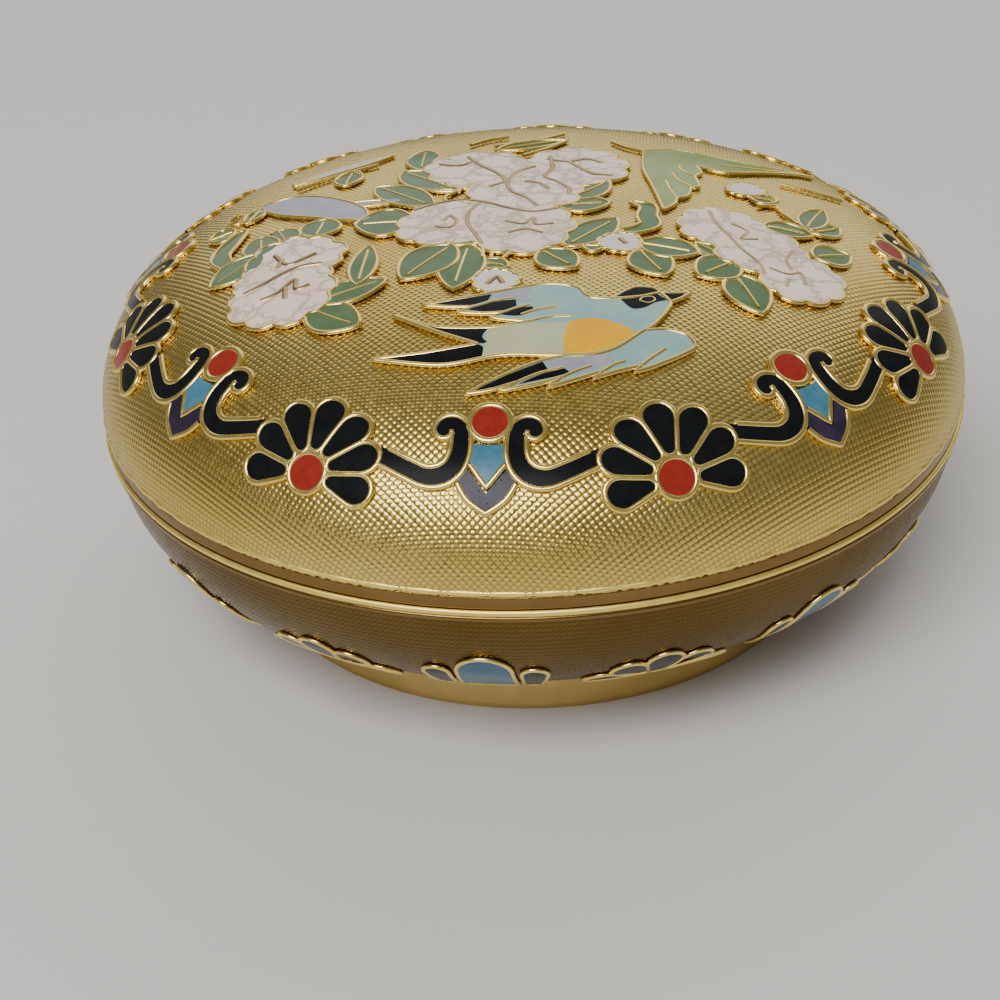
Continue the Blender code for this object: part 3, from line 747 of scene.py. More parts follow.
# painted shade: the bowl's blue and black enamels are darker copies of the lid's, for the shade
# and dark reflection on the bowl's side
bowlBlueShadedEnamel = enamelMaterial("bowlBlueShadedEnamel", (0.05, 0.13, 0.21), (0.09, 0.19, 0.28), 700.0,
                                0.6, shine=0.15)
bowlBlackShadedEnamel = enamelMaterial("bowlBlackShadedEnamel", (0.006, 0.006, 0.007), (0.010, 0.012, 0.013),
                                 shine=0.12)
greenEnamel = enamelMaterial("greenEnamel", (0.06, 0.13, 0.035), (0.10, 0.18, 0.07), 260.0, 0.8)
pinkEnamel = enamelMaterial("pinkEnamel", (1.00, 0.86, 0.68), (0.92, 0.64, 0.54), 330.0, 0.8,
                            veins={"scale": 240.0, "colour": (0.44, 0.32, 0.21), "amount": 0.60})
whiteEnamel = enamelMaterial("whiteEnamel", (0.84, 0.80, 0.70), (0.70, 0.58, 0.50), 420.0, 0.6)
turquoiseEnamel = enamelMaterial("turquoiseEnamel", (0.26, 0.46, 0.44), (0.38, 0.54, 0.48),
                                 300.0, 0.7)
lavenderEnamel = enamelMaterial("lavenderEnamel", (0.31, 0.33, 0.38), (0.46, 0.42, 0.46),
                                300.0, 0.8)
bellyEnamel = enamelMaterial("bellyEnamel", (0.52, 0.54, 0.29), (0.54, 0.58, 0.44), 300.0, 0.7)
orangeEnamel = enamelMaterial("orangeEnamel", (0.92, 0.43, 0.005), (0.97, 0.56, 0.01), 300.0, 0.7,
                              shine=0.12)
grassEnamel = enamelMaterial("grassEnamel", (0.24, 0.34, 0.06), (0.32, 0.42, 0.18), 200.0, 0.8)
print("materials made")


# lid: the turned shell with its polished band, and the hollow under it

lid = {"steps": 192, "groundSunk": 0.45, "edgeRound": 0.22, "bandTop": 0.25, "bandIn": 0.32,
       "bandShown": 1.38, "closed": 0.24}


def lidProfile():
    bandTop = box["lidBottom"] + lid["bandShown"]
    bottom = box["lidBottom"] - lid["closed"]
    radii = np.interp(np.linspace(0.0, 1.0, 56), domeWalk / domeWalk[-1], domeRadii)
    line = []
    for radius in radii:
        out, up = normalOf(domeHeight, min(radius, box["radius"] - 0.02), 1)
        height = domeHeight(radius) - up * lid["groundSunk"]
        if height > bandTop + 0.1:
            line.append((radius - out * lid["groundSunk"] if radius > 0 else 0.0, height))
    edge = lid["edgeRound"]
    outer = box["radius"] - lid["bandIn"]
    line.append((outer - lid["groundSunk"], bandTop))
    line.append((outer - lid["bandTop"], bandTop))
    for step in range(5):
        turn = math.pi / 2 * step / 4
        line.append((outer - edge + edge * math.sin(turn),
                     bandTop - edge + edge * math.cos(turn) - 0.02))
    for step in range(5):
        turn = math.pi / 2 * step / 4
        line.append((outer - edge + edge * math.cos(turn), bottom + edge - edge * math.sin(turn)))
    inner = box["radius"] - box["lidWall"]
    line.append((inner + 0.1, bottom))
    line.append((inner, bottom + 0.1))
    for radius in radii[::-1]:
        out, up = normalOf(domeHeight, min(radius, box["radius"] - 0.02), 1)
        height = domeHeight(radius) - up * box["lidWall"]
        if height > box["lidBottom"] + 0.4:
            line.append((radius - out * box["lidWall"] if radius > 0 else 0.0, height))
    return line


def turnProfile(name, line, steps):
    piece = newCurve(name, [[(radius, 0.0, height) for radius, height in line]], False)
    openEdit(piece)
    bpy.ops.mesh.spin(steps=steps, angle=2 * math.pi, center=(0.0, 0.0, 0.0),
                      axis=(0.0, 0.0, 1.0))
    bpy.ops.mesh.select_all(action="SELECT")
    bpy.ops.mesh.remove_doubles(threshold=1e-6)
    bpy.ops.mesh.normals_make_consistent(inside=False)
    closeEdit()
    return piece


lidShell = turnProfile("lidShell", lidProfile(), lid["steps"])
finishPiece(lidShell, giltPlainPaintedDark, "gilt_brass", "lid", smooth=30)
print("lid shell turned")


# the pressed grounds: a lattice of fine raised points, facetted so that each one glints

def thicken(piece, thick):
    selectOnly(piece)
    bpy.ops.object.modifier_add(type="SOLIDIFY")
    solid = piece.modifiers[-1]
    solid.thickness = thick * mm
    solid.offset = -1.0
    bpy.ops.object.modifier_apply(modifier=solid.name)


def raisePoints(piece, heightOf, side, low, high, point):
    # pokes every face of the outer skin up into a small pyramid
    def isOuter(middle, normal):
        radius = max(math.hypot(middle.x, middle.y), 1e-6)
        out, up = normalOf(heightOf, min(max(radius, low), high), side)
        across = (normal.x * middle.x + normal.y * middle.y) / radius
        return across * out + normal.z * up > 0.5
    pickFaces(piece, isOuter)
    bpy.ops.mesh.poke(offset=point * mm)
    closeEdit()


lidLattice = {"pitch": 0.68, "lift": -0.04, "point": 0.14, "thick": 0.3, "edgeDrop": 0.55,
              "edgeSunk": 0.16, "edgeFade": 3.0}


def buildLidGround():
    style = lidLattice
    edgeHeight = box["lidBottom"] + box["lidBand"] - style["edgeDrop"]
    edgeWalk = float(np.interp(-edgeHeight, -domeHeight(domeRadii), domeWalk))
    count = int(2 * edgeWalk / style["pitch"]) + 2
    bpy.ops.mesh.primitive_grid_add(x_subdivisions=count, y_subdivisions=count,
                                    size=count * style["pitch"] * mm)
    piece = bpy.context.view_layer.objects.active
    piece.name = "lidGround"
    openEdit(piece)
    bpy.ops.transform.rotate(value=math.pi / 4, orient_axis="Z",
                             center_override=(0.0, 0.0, 0.0))
    closeEdit()
    pickFaces(piece, lambda middle, normal: math.hypot(middle.x, middle.y) > edgeWalk)
    bpy.ops.mesh.delete(type="FACE")
    closeEdit()

    # the flat round sheet is wrapped over the dome, distances walked from the crown kept
    points = vertexArray(piece)
    walked = np.maximum(np.hypot(points[:, 0], points[:, 1]), 1e-6)
    edge = np.where(walked > edgeWalk - 0.3 * style["pitch"], edgeWalk, walked)
    radius = np.interp(edge, domeWalk, domeRadii)
    points[:, :2] *= (radius / walked)[:, None]
    fade = np.clip((walked - edgeWalk) / style["edgeFade"] + 1.0, 0.0, 1.0)
    points[:, 2] = style["lift"] - style["edgeSunk"] * fade
    putVertices(piece, onDome(points))
    thicken(piece, style["thick"])
    raisePoints(piece, domeHeight, 1, 0.0, box["radius"] - 0.02, style["point"])
    return piece, count


lidGround, lidCells = buildLidGround()
# the third colour is the painted shade laid in the lattice's valleys
giltGround = latticeMaterial("giltGround", (0.90, 0.71, 0.22), (0.76, 0.56, 0.14),
                             (0.40, 0.26, 0.06), lidCells, lidCells, 0.055)
finishPiece(lidGround, giltGround, "gilt_brass", "lid", smooth=60)
print("lid ground pressed:", len(lidGround.data.polygons), "faces")


# the bright line of beads where the lid's ground meets its plain band

beadLine = {"count": 330, "radius": 54.56, "height": 28.30, "thick": 0.44, "wave": 0.16}


def buildBeadLine():
    style = beadLine
    bpy.ops.mesh.primitive_torus_add(
        major_segments=style["count"] * 4, minor_segments=8,
        major_radius=style["radius"] * mm, minor_radius=style["thick"] * mm,
        location=(0.0, 0.0, style["height"] * mm))
    piece = bpy.context.view_layer.objects.active
    bpy.ops.object.transform_apply(location=True, rotation=True, scale=True)
    piece.name = "lidBeadLine"
    points = vertexArray(piece)
    angle = np.arctan2(points[:, 1], points[:, 0])
    radius = np.hypot(points[:, 0], points[:, 1])
    swell = 1.0 - style["wave"] * (1.0 - np.cos(angle * style["count"]))
    shown = style["radius"] + (radius - style["radius"]) * swell
    points[:, :2] *= (shown / radius)[:, None]
    points[:, 2] = style["height"] + (points[:, 2] - style["height"]) * swell
    putVertices(piece, points)
    return piece


lidBeads = buildBeadLine()
finishPiece(lidBeads, giltBead, "gilt_brass", "lid", smooth=50)
print("bead line made")


# bowl: turned shell with rim band, foot ring and the upright register flange

bowl = {"steps": 192, "groundSunk": 0.30, "edgeRound": 0.30, "bandShown": 1.6,
        "bead": 0.36, "upperBead": 0.78, "lowerIn": 0.14}


def flangeRadius():
    spring = box["lidBottom"] - box["springDrop"]
    share = ((box["flangeTop"] - spring) / (box["lidTop"] - spring)) ** box["shoulder"]
    inner = box["radius"] * (1.0 - share) ** (1.0 / box["fullness"]) - box["lidWall"]
    return inner - box["flangeClear"]


def bowlProfile():
    rim = box["radius"] - box["bowlBandProud"]
    bandBottom = box["seam"] - bowl["bandShown"]
    floorTop = box["floorRecess"] + box["bowlWall"]
    footInner = box["footRadius"] + box["footFlare"] - box["footWall"]
    outerFlange = flangeRadius()
    innerFlange = outerFlange - box["flangeWall"]
    edge = bowl["edgeRound"]
    radii = np.interp(np.linspace(0.0, 1.0, 34), bowlWalk / bowlWalk[-1], bowlRadii)
    outside = []
    within = []
    for radius in radii:
        out, up = normalOf(bowlHeight, np.clip(radius, box["footRadius"] + 0.1, rim - 0.02), -1)
        height = float(bowlHeight(radius))
        outside.append((radius - out * bowl["groundSunk"], height - up * bowl["groundSunk"]))
        if height - up * box["bowlWall"] < box["seam"] - box["flangeDepth"] - 1.0:
            within.append((radius - out * box["bowlWall"], height - up * box["bowlWall"]))
    floorEdge = within[0][0] - (within[0][1] - floorTop) * 2.0
    line = [(0.0, floorTop), (floorEdge * 0.6, floorTop), (floorEdge, floorTop)] + within
    line += [
        (rim - box["bowlWall"], box["seam"] - box["flangeDepth"] - 0.7),
        (innerFlange, box["seam"] - box["flangeDepth"]),
        (innerFlange, box["flangeTop"] - edge),
        (innerFlange + edge, box["flangeTop"]),
        (outerFlange - edge, box["flangeTop"]),
        (outerFlange, box["flangeTop"] - edge),
        (outerFlange, box["seam"]),
    ]
    # the rim band is two soft beads, one over the other
    split = box["seam"] - bowl["upperBead"]
    for low, high, reach in ((split, box["seam"], box["radius"]),
                             (bandBottom, split - 0.01, box["radius"] - bowl["lowerIn"])):
        half = (high - low) / 2
        for step in range(9):
            turn = math.pi / 2 - math.pi * step / 8
            line.append((reach - bowl["bead"] + bowl["bead"] * math.cos(turn),
                         low + half + half * math.sin(turn)))
    line.append((rim - bowl["groundSunk"], bandBottom))
    line += outside[:-1][::-1]
    foot = box["footRadius"]
    flare = foot + box["footFlare"]
    line += [
        (foot - 0.15, box["footHeight"] - 0.2),
        (foot, box["footHeight"] - 0.6),
        (foot + 0.1, box["footHeight"] * 0.5),
        (flare - 0.05, 0.9),
        (flare, 0.6),
        (flare, 0.25),
        (flare - 0.25, 0.0),
        (footInner + 0.25, 0.0),
        (footInner, 0.25),
        (footInner, box["floorRecess"] - 0.3),
        (footInner - 0.3, box["floorRecess"]),
        (footInner * 0.5, box["floorRecess"]),
        (0.0, box["floorRecess"]),
    ]
    return line


bowlShell = turnProfile("bowlShell", bowlProfile(), bowl["steps"])
# the band and shell take the painted-dark gilt, the foot a lighter painted tone, the upper bead
# the bright gilt
finishPiece(bowlShell, giltPlainPaintedDark, "gilt_brass", "bowl", smooth=30)
bowlShell.data.materials.append(giltFootPaintedLight)
bowlShell.data.materials.append(giltBead)
for face in bowlShell.data.polygons:
    middle = face.center / mm
    if middle.z < box["footHeight"] and middle.xy.length > box["footRadius"] - 3.0:
        face.material_index = 1
    elif middle.z > box["seam"] - bowl["upperBead"] and middle.xy.length > bowlRim:
        face.material_index = 2
print("bowl shell turned")


# bowl ground: the lattice again, slanting round the bowl's side

bowlLattice = {"pitch": 0.62, "lift": -0.04, "point": 0.10, "thick": 0.2, "tucked": 0.45,
               "middle": 50.0}


def buildBowlGround():
    style = bowlLattice
    low = -style["tucked"]
    high = bowlWalk[-1] + style["tucked"]
    columns = round(2 * math.pi * style["middle"] / style["pitch"])
    rows = round((high - low) / style["pitch"])
    bpy.ops.mesh.primitive_grid_add(x_subdivisions=columns, y_subdivisions=rows, size=2 * mm)
    piece = bpy.context.view_layer.objects.active
    piece.name = "bowlGround"
    points = vertexArray(piece)
    upwards = np.round((points[:, 1] + 1.0) / 2.0 * rows)
    across = np.round((points[:, 0] + 1.0) / 2.0 * columns) + upwards
    angle = 2 * math.pi * across / columns
    walked = low + (high - low) * upwards / rows

    # past its ends the sheet runs straight on, into the rim band and under the foot ring
    radius = np.interp(walked, bowlWalk, bowlRadii)
    out, up = normalOf(bowlHeight, np.clip(radius, box["footRadius"] + 0.05, bowlRim - 0.02), -1)
    past = np.maximum(walked - bowlWalk[-1], 0.0)
    under = np.minimum(walked, 0.0)
    reach = radius + under + out * style["lift"]
    height = bowlHeight(radius) + past + up * style["lift"]
    putVertices(piece, np.stack([reach * np.cos(angle), reach * np.sin(angle), height], 1))
    openEdit(piece)
    bpy.ops.mesh.remove_doubles(threshold=2e-6)
    closeEdit()
    first = piece.data.polygons[len(piece.data.polygons) // 2]
    if first.normal.xy.dot(first.center.xy) < 0:
        openEdit(piece)
        bpy.ops.mesh.flip_normals()
        closeEdit()
    thicken(piece, style["thick"])
    raisePoints(piece, bowlHeight, -1, box["footRadius"] + 0.05, bowlRim - 0.02,
                style["point"])
    return piece, columns, rows


bowlGround, bowlColumns, bowlRows = buildBowlGround()
# painted shade: the bowl's gilt ground and its valley colour are painted far darker than the
# lid's, for the shade and dark reflection under the lid
giltBowlPaintedShade = latticeMaterial("giltBowlPaintedShade", (0.20, 0.133, 0.040), (0.152, 0.092, 0.024),
                           (0.10, 0.058, 0.016), bowlColumns, bowlRows, 0.04)
finishPiece(bowlGround, giltBowlPaintedShade, "gilt_brass", "bowl", smooth=60)
print("bowl ground pressed:", len(bowlGround.data.polygons), "faces")


# lid border: palmettes and scrolls in turn

palmette = {
    "dot": 1.85, "petals": 7, "step": 32.5, "tip": 8.5, "shrink": 0.28, "neck": 3.2,
    "wireOut": 0.30,         # a petal's edge to the middle of its wire
}


def petalOutlines(style):
    # the petals of a fan that opens along -y, wedges with one wire between two of them
    outlines = []
    last = (style["petals"] - 1) // 2
    wedge = math.sin(math.radians(style["step"] / 2))
    for rank in range(-last, last + 1):
        angle = math.radians(rank * style["step"])
        tip = style["tip"] - style["shrink"] * abs(rank)
        far = (tip + style["wireOut"]) / (1.0 + wedge)
        outlines.append(capsule(
            style["neck"] * math.sin(angle), -style["neck"] * math.cos(angle),
            style["neck"] * wedge - style["wireOut"],
            far * math.sin(angle), -far * math.cos(angle), tip - far))
    return outlines


def buildPalmettes():
    half = math.pi / box["repeats"]
    place = borderPlace(domeWalk, domeRadii, palmetteWalk, half)
    petals = petalOutlines(palmette)
    dot = circle(0.0, 0.0, palmette["dot"])
    gilt = wires("lidPalmetteWires",
                 [grow(line, palmette["wireOut"]) for line in petals] + [grow(dot, 0.34)])
    drape(gilt, place, onDome)
    black = cells("lidPalmetteBlack", [grow(line, 0.12) for line in petals], 1.2)
    drape(black, place, onDome)
    red = cells("lidPalmetteRed", [grow(dot, 0.15)], 1.2)
    drape(red, place, onDome)
    return gilt, black, red


scroll = {
    "dot": 1.85, "ring": 0.44,
    "arm": [(4.85, 1.15, 0.74), (4.72, 0.74, 0.73), (4.36, 0.42, 0.73), (3.90, 0.32, 0.73),
            (3.42, 0.50, 0.74), (3.04, 1.00, 0.76), (2.92, 1.80, 0.77), (2.90, 2.80, 0.79),
            (3.04, 4.00, 0.82), (3.60, 5.30, 0.84), (4.75, 6.22, 0.86), (6.40, 6.48, 0.82),
            (8.40, 5.85, 0.80), (10.40, 5.10, 0.80), (11.80, 4.60, 0.80)],
    "shield": [[(-1.55, 2.80), (0.0, 2.95), (1.55, 2.80)], [(1.55, 2.80), (1.78, 4.60)],
               [(1.78, 4.60), (0.0, 6.95)], [(0.0, 6.95), (-1.78, 4.60)],
               [(-1.78, 4.60), (-1.55, 2.80)]],
    "chevron": [[(-2.05, 5.65), (0.0, 8.15)], [(0.0, 8.15), (2.05, 5.65)],
                [(2.05, 5.65), (2.95, 6.65)], [(2.95, 6.65), (1.85, 8.45), (0.0, 9.75)],
                [(0.0, 9.75), (-1.85, 8.45), (-2.95, 6.65)], [(-2.95, 6.65), (-2.05, 5.65)]],
}


def buildScrolls():
    place = borderPlace(domeWalk, domeRadii, scrollWalk, 0.0)
    rightArm = stroke(scroll["arm"])
    leftArm = [(-x, y) for x, y in rightArm]
    dot = circle(0.0, 0.0, scroll["dot"])
    shield = outlineOf(*scroll["shield"])
    chevron = outlineOf(*scroll["chevron"])
    # neighbours share one wire, so each line stops where another one already runs
    ringCover = grow(dot, 0.36)
    underRing = grow(dot, 0.95)
    nearArms = [grow(rightArm, 0.40), grow(leftArm, 0.40)]
    ends = [circle(side * 13.0, 4.0, 2.0) for side in (1, -1)]
    opened = []
    for arm in (rightArm, leftArm):
        opened += clipLine(grow(arm, 0.28), True, [arm, ringCover, *ends])[1]
    opened += clipLine(grow(shield, 0.26), True, [*nearArms, underRing])[1]
    opened += clipLine(grow(chevron, 0.26), True, [*nearArms, grow(shield, 0.6)])[1]
    ring = wires("lidScrollRing", [grow(dot, scroll["ring"] - 0.08)], half=scroll["ring"],
                 level=0.26)
    gilt = joinPieces("lidScrollWires", [wires("lidScrollWires", [], opened), ring])
    drape(gilt, place, onDome)
    black = cells("lidScrollBlack", [grow(rightArm, 0.12), grow(leftArm, 0.12)], 1.2)
    drape(black, place, onDome)
    red = cells("lidScrollRed", [grow(dot, 0.15)], 1.2)
    drape(red, place, onDome)
    blue = cells("lidScrollBlue", [grow(shield, 0.12)], 1.2)
    drape(blue, place, onDome)
    navy = cells("lidScrollNavy", [grow(chevron, 0.12)], 1.2)
    drape(navy, place, onDome)
    return gilt, black, red, blue, navy


palmetteGilt, palmetteBlack, palmetteRed = buildPalmettes()
scrollGilt, scrollBlack, scrollRed, scrollBlue, scrollNavy = buildScrolls()
repeats = box["repeats"]
palmetteDots = [f"lid_palmette_dot_{index + 1}" for index in range(repeats)]
scrollDots = [f"lid_scroll_dot_{index + 1}" for index in range(repeats)]
finishPiece(ringOfCopies("lidPalmetteWires", palmetteGilt, repeats), giltWire, "gilt_brass",
            "lid_border")
finishPiece(ringOfCopies("lidPalmetteBlack", palmetteBlack, repeats), blackEnamel,
            "black_enamel", "lid_border")
finishPiece(ringOfCopies("lidPalmetteRed", palmetteRed, repeats), redEnamel, "red_enamel",
            *palmetteDots)
finishPiece(ringOfCopies("lidScrollWires", scrollGilt, repeats), giltWire, "gilt_brass",
            "lid_border")
finishPiece(ringOfCopies("lidScrollBlack", scrollBlack, repeats), blackEnamel, "black_enamel",
            "lid_border")
finishPiece(ringOfCopies("lidScrollRed", scrollRed, repeats), redEnamel, "red_enamel",
            *scrollDots)
finishPiece(ringOfCopies("lidScrollBlue", scrollBlue, repeats), blueEnamel, "blue_enamel",
            "lid_border")
finishPiece(ringOfCopies("lidScrollNavy", scrollNavy, repeats), navyEnamel, "black_enamel",
            "lid_border")
print("lid border made")


# bowl border: half ovals between two small curls, and upright fans, in turn

bowlLobe = {"half": 3.1, "low": 9.0, "high": 21.5, "curl": (4.6, 10.4, 0.8, 5.5, 17.6, 1.45)}
bowlFan = {"centre": 9.8, "petals": 5, "step": 31.0, "tip": 9.7, "shrink": 0.32, "neck": 3.2,
           "wireOut": 0.22}
bowlTurn = math.radians(-1.3)      # the lid sits turned by this much on the bowl
bowlWire = {"half": 0.27, "level": 0.28, "enamel": 0.42}


def roundArch(half, low, high, count=20):
    # upright sides under a half round
    spring = high - half
    sides = [[(-half, spring), (-half, low)], [(-half, low), (half, low)],
             [(half, low), (half, spring)]]
    arch = [(half * math.cos(math.pi * step / count), spring + half * math.sin(
        math.pi * step / count)) for step in range(count)]
    return arch + outlineOf(*sides)


def layOnBowl(wireName, cellName, outlines, place):
    gilt = wires(wireName, outlines, half=bowlWire["half"], level=bowlWire["level"])
    drape(gilt, place, onBowl)
    fill = cells(cellName, outlines, 1.2, bowlWire["enamel"])
    drape(fill, place, onBowl)
    return gilt, fill


def buildBowlLobes():
    place = borderPlace(bowlWalk, bowlRadii, 0.0, bowlTurn)
    lobe = roundArch(bowlLobe["half"], bowlLobe["low"], bowlLobe["high"])
    rightCurl = capsule(*bowlLobe["curl"])
    curls = [rightCurl, [(-x, y) for x, y in rightCurl]]
    return (layOnBowl("bowlLobeWires", "bowlLobeBlue", [lobe], place)
            + layOnBowl("bowlCurlWires", "bowlCurlBlack", curls, place))


def buildBowlFans():
    place = borderPlace(bowlWalk, bowlRadii, bowlFan["centre"],
                        bowlTurn + math.pi / box["repeats"])
    petals = [[(x, -y) for x, y in grow(outline, bowlFan["wireOut"])]
              for outline in petalOutlines(bowlFan)]
    return layOnBowl("bowlFanWires", "bowlFanBlack", petals, place)


lobeGilt, lobeBlue, curlGilt, curlBlack = buildBowlLobes()
fanGilt, fanBlack = buildBowlFans()
lobeNodes = [f"bowl_lobe_{index + 1}" for index in range(repeats)]
fanNodes = [f"bowl_palmette_{index + 1}" for index in range(repeats)]
finishPiece(ringOfCopies("bowlLobeWires", lobeGilt, repeats), giltWire, "gilt_brass", *lobeNodes)
finishPiece(ringOfCopies("bowlLobeBlue", lobeBlue, repeats), bowlBlueShadedEnamel, "blue_enamel",
            *lobeNodes)
finishPiece(ringOfCopies("bowlCurlWires", curlGilt, repeats), giltWire, "gilt_brass", *lobeNodes)
finishPiece(ringOfCopies("bowlCurlBlack", curlBlack, repeats), bowlBlackShadedEnamel, "black_enamel",
            *lobeNodes)
finishPiece(ringOfCopies("bowlFanWires", fanGilt, repeats), giltWire, "gilt_brass", *fanNodes)
finishPiece(ringOfCopies("bowlFanBlack", fanBlack, repeats), bowlBlackShadedEnamel, "black_enamel",
            *fanNodes)
print("bowl border made")


# the picture on the crown: places in plan millimetres, x to the right, y away from the front

picture = {"level": 0.50, "step": 0.012, "fineStep": 0.004, "line": 0.42, "lineLevel": 0.31,
           "rib": 0.19, "ribLevel": 0.42, "wire": 0.28, "wireLevel": 0.37}


def ruffled(x, y, reach, turn=0.0, lobes=9, depth=0.15):
    # a flower head with small round lobes and sharp valleys between them
    outline = []
    count = lobes * 8
    for step in range(count):
        angle = 2 * math.pi * step / count
        wave = abs(math.sin(lobes * angle / 2 + turn))
        uneven = 1.0 + 0.045 * math.sin(3 * angle + 5 * turn)
        far = reach * uneven * (1.0 + 0.03 - depth * (1.0 - wave) ** 1.6)
        outline.append((x + far * math.cos(angle), y + far * math.sin(angle)))
    return outline


def leaf(baseX, baseY, tipX, tipY, width, bend=0.0):
    # outline and midrib of a leaf pointed at both ends; bend bows its middle sideways
    along = Vector((tipX - baseX, tipY - baseY))
    side = Vector((-along.y, along.x)).normalized()
    count = max(8, round(along.length / 0.5))
    halves = {1: [], -1: []}
    rib = []
    for step in range(count + 1):
        share = step / count
        bow = bend * 4 * share * (1 - share)
        middle = Vector((baseX, baseY)) + along * share
        for way in (1, -1):
            off = bow + way * width / 2 * math.sin(math.pi * share ** 0.92) ** 0.75
            halves[way].append(tuple(middle + side * off))
        if 0.06 < share < 0.90:
            rib.append(tuple(middle + side * bow * 1.1))
    return halves[1] + halves[-1][-2:0:-1], rib


def layeredCells(name, outlines, step, first=0.0):
    # overlapping fills, each one a hair higher than the last, joined
    made = [cells(name, [outline], 1.7, picture["level"] + first + index * step)
            for index, outline in enumerate(outlines)]
    return joinPieces(name, made)


def unionWires(outlines, by=0.18):
    # gilt wire along the common outline of overlapping shapes
    closed = []
    opened = []
    for index, outline in enumerate(outlines):
        others = [other for place, other in enumerate(outlines) if place != index]
        whole, stretches = clipLine(grow(outline, by), True, others)
        closed += whole
        opened += stretches
    return closed, opened


flowers = {
    "peony_left": [
        (-26.6, -13.6, 5.9, 0.2), (-26.3, -21.6, 6.2, 0.9), (-29.4, -17.4, 3.6, 0.4),
    ],
    "peony_centre": [
        (-7.4, 12.4, 6.6, 0.1), (5.2, 13.0, 7.0, 0.7), (-0.6, 3.4, 7.0, 0.3),
        (-8.6, -6.2, 6.3, 0.5), (-0.2, -7.8, 6.8, 1.1),
    ],
    "peony_right": [
        (24.0, -5.2, 5.0, 0.3), (28.8, -10.6, 5.4, 0.8), (33.0, -15.2, 5.0, 0.2),
    ],
    "bud_front": [(-1.5, -21.6, 2.5, 0.3)],
    "bud_middle": [(12.3, -11.4, 2.4, 0.9)],
    "bud_right": [(27.2, 7.8, 2.2, 0.5)],
}
petalLines = [
    # centre peony
    [(-13.6, -2.2), (-10.8, -0.1), (-8.0, 0.9), (-4.7, 0.0), (-1.6, -1.9), (1.2, -3.0),
     (4.2, -1.9)],
    [(-5.6, -0.1), (-6.6, -3.2), (-6.3, -6.8), (-5.1, -9.8), (-4.0, -12.6)],
    [(-9.0, 17.0), (-7.0, 13.4), (-4.4, 10.2), (-3.2, 7.4), (-5.0, 5.4)],
    [(0.2, 12.6), (-1.8, 10.6), (-2.8, 7.0), (-2.0, 3.8), (0.1, 1.6), (1.6, -1.0)],
    [(1.9, 16.6), (2.5, 12.0), (1.8, 8.8), (3.6, 7.0), (5.2, 4.6), (5.2, 2.6)],
    [(4.4, 14.6), (6.2, 12.0), (8.0, 9.8), (10.4, 9.4)],
    [(1.6, 15.6), (4.2, 14.4), (6.8, 15.6), (8.8, 14.2)],
    [(-12.4, 14.2), (-10.0, 13.2), (-8.4, 14.6)],
    [(-1.8, -5.9), (0.4, -6.8), (1.4, -5.0), (2.0, -7.0), (4.0, -6.6)],
    [(-1.2, -9.4), (0.8, -8.4), (3.0, -9.4)],
    [(-10.2, -7.4), (-8.6, -7.8), (-7.8, -6.0), (-8.8, -4.2), (-9.4, -5.6)],
    [(-0.6, 7.2), (1.4, 6.4), (2.6, 4.6)],
    # left peony
    [(-31.4, -20.0), (-29.4, -18.8), (-27.6, -17.2), (-25.4, -15.8), (-22.8, -15.6)],
    [(-29.2, -12.0), (-27.2, -14.8), (-25.4, -14.0), (-24.0, -12.8)],
    [(-28.0, -13.4), (-28.2, -15.4)],
    [(-28.9, -22.2), (-27.2, -21.4), (-25.4, -18.8), (-24.9, -21.0), (-23.4, -20.4)],
    [(-26.3, -20.4), (-25.9, -22.8)],
    # right peony
    [(22.6, -1.2), (23.4, -4.6), (24.8, -7.6), (26.4, -11.0), (28.4, -14.0), (29.0, -16.4)],
    [(25.4, -4.6), (27.2, -6.2), (26.4, -8.4), (28.4, -8.0)],
    [(32.4, -9.6), (31.6, -12.2), (32.2, -14.4)],
    [(29.6, -14.8), (31.6, -15.4), (33.2, -14.6), (33.6, -17.0)],
    [(31.8, -16.4), (31.4, -18.2)],
    # buds
    [(-2.4, -22.6), (-1.4, -21.0), (-0.6, -22.4)],
    [(12.2, -10.6), (13.0, -12.0)],
]
